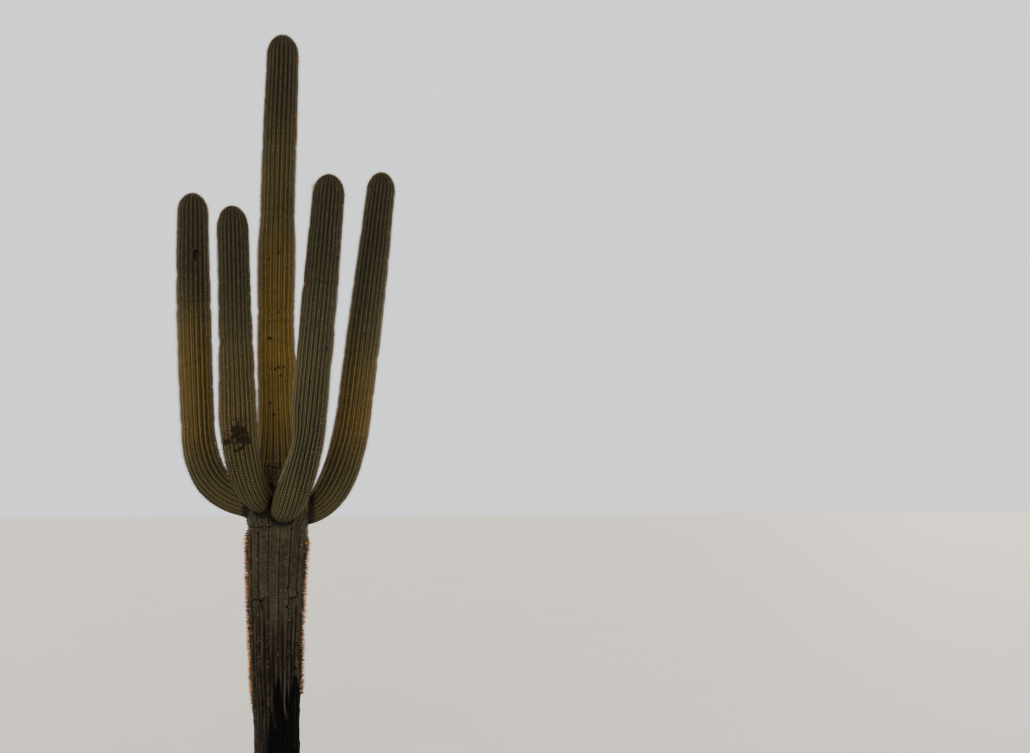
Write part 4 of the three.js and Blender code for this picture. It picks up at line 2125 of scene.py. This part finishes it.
def grow_limbs() -> list[Limb]:
    """The cactus's limbs: two growths of the trunk and four arms.

    Returns:
        The limbs, from the ground up.
    """
    trunk: list[Limb] = [lower_trunk(), upper_trunk()]
    arms: list[Limb] = [
        right_inner_arm(),
        left_inner_arm(),
        right_outer_arm(),
        left_outer_arm(),
    ]
    for growth in trunk:
        growth.neighbours = arms
    for arm in arms:
        arm.neighbours = [other for other in trunk + arms if other is not arm]
    return trunk + arms


@dataclass(frozen=True)
class Lamp:
    """A broad soft light, so far off that it falls evenly on the floor. Angles are in degrees."""

    name: str
    turn: float  # where it hangs, round the plant from the front to the right
    rise: float  # how far up it hangs
    spread: float  # how wide it looks from the plant
    strength: float
    colour: tuple[float, float, float]
    distance: float = 20.0

    def hang(self) -> None:
        """Adds the light to the scene."""
        data = bpy.data.lights.new(self.name, "SUN")
        data.energy = self.strength
        data.angle = math.radians(self.spread)
        data.color = self.colour
        light = bpy.data.objects.new(self.name, data)
        turn, rise = math.radians(self.turn), math.radians(self.rise)
        level = math.cos(rise)
        place = Vector((math.sin(turn) * level, -math.cos(turn) * level, math.sin(rise)))
        light.location = place * self.distance
        light.rotation_euler = (-place).to_track_quat("-Z", "Y").to_euler()
        bpy.context.scene.collection.objects.link(light)


KEY_COLOUR = (1.0, 0.97, 0.92)
RIM_COLOUR = (1.0, 0.78, 0.50)


@dataclass
class Studio:
    """The pale floor, the soft lights and the camera."""

    floor_reach: float = 90.0
    floor_colour: Colour = paint(196, 193, 187)
    sky_colour: Colour = paint(238, 240, 243)
    sky_strength: float = 1.5
    camera_place: tuple[float, float, float] = (0.0, -8.1453, 2.2559)
    camera_rise: float = 6.579  # degrees above level
    camera_turn: float = -12.838
    focal_length: float = 35.0
    sensor_width: float = 36.0
    sight: float = 300.0  # how far the camera sees
    lamps: tuple[Lamp, ...] = (
        Lamp("key_light", -20, 36, 40, 0.8, KEY_COLOUR),
        Lamp("rim_light_right", 141, 8, 16, 3.8, RIM_COLOUR),
        Lamp("rim_light_left", -146, 8, 16, 3.8, RIM_COLOUR),
    )

    def build(self) -> None:
        """Makes the floor, lights and camera."""
        self.lay_floor()
        self.light_sky()
        for lamp in self.lamps:
            lamp.hang()
        self.set_camera()

    def lay_floor(self) -> None:
        """Makes the floor and its nearly plain finish."""
        bm = bmesh.new()
        bmesh.ops.create_grid(bm, x_segments=1, y_segments=1, size=self.floor_reach)
        mesh = bpy.data.meshes.new("studio_floor")
        bm.to_mesh(mesh)
        bm.free()
        bench = Bench("floor_paint")
        place = bench.node("ShaderNodeTexCoord", result="Object")
        cloud = bench.noise(place, 0.8, 3)
        colour = bench.blend(cloud, self.floor_colour, paint(206, 202, 194))
        bench.finish(colour, 0.8 + cloud * 0.1, cloud, 0.0005)
        mesh.materials.append(bench.material)
        floor = bpy.data.objects.new("studio_floor", mesh)
        bpy.context.scene.collection.objects.link(floor)

    def light_sky(self) -> None:
        """Surrounds the scene with an even pale light."""
        world = bpy.data.worlds.new("studio")
        world.use_nodes = True
        sky = world.node_tree.nodes["Background"]
        sky.inputs["Color"].default_value = self.sky_colour
        sky.inputs["Strength"].default_value = self.sky_strength
        bpy.context.scene.world = world

    def set_camera(self) -> None:
        """Sets the camera where the picture was taken from."""
        data = bpy.data.cameras.new("camera")
        data.lens = self.focal_length
        data.sensor_width = self.sensor_width
        data.clip_end = self.sight
        camera = bpy.data.objects.new("camera", data)
        camera.location = self.camera_place
        camera.rotation_euler = (
            math.radians(90 + self.camera_rise), 0, math.radians(self.camera_turn)
        )
        bpy.context.scene.collection.objects.link(camera)
        bpy.context.scene.camera = camera


def main() -> None:
    """Builds the cactus and its studio."""
    logging.basicConfig(level=logging.INFO, format="%(message)s")
    for limb in grow_limbs():
        limb.build()
        Armour(limb).build()
    Studio().build()


if __name__ == "__main__":
    main()
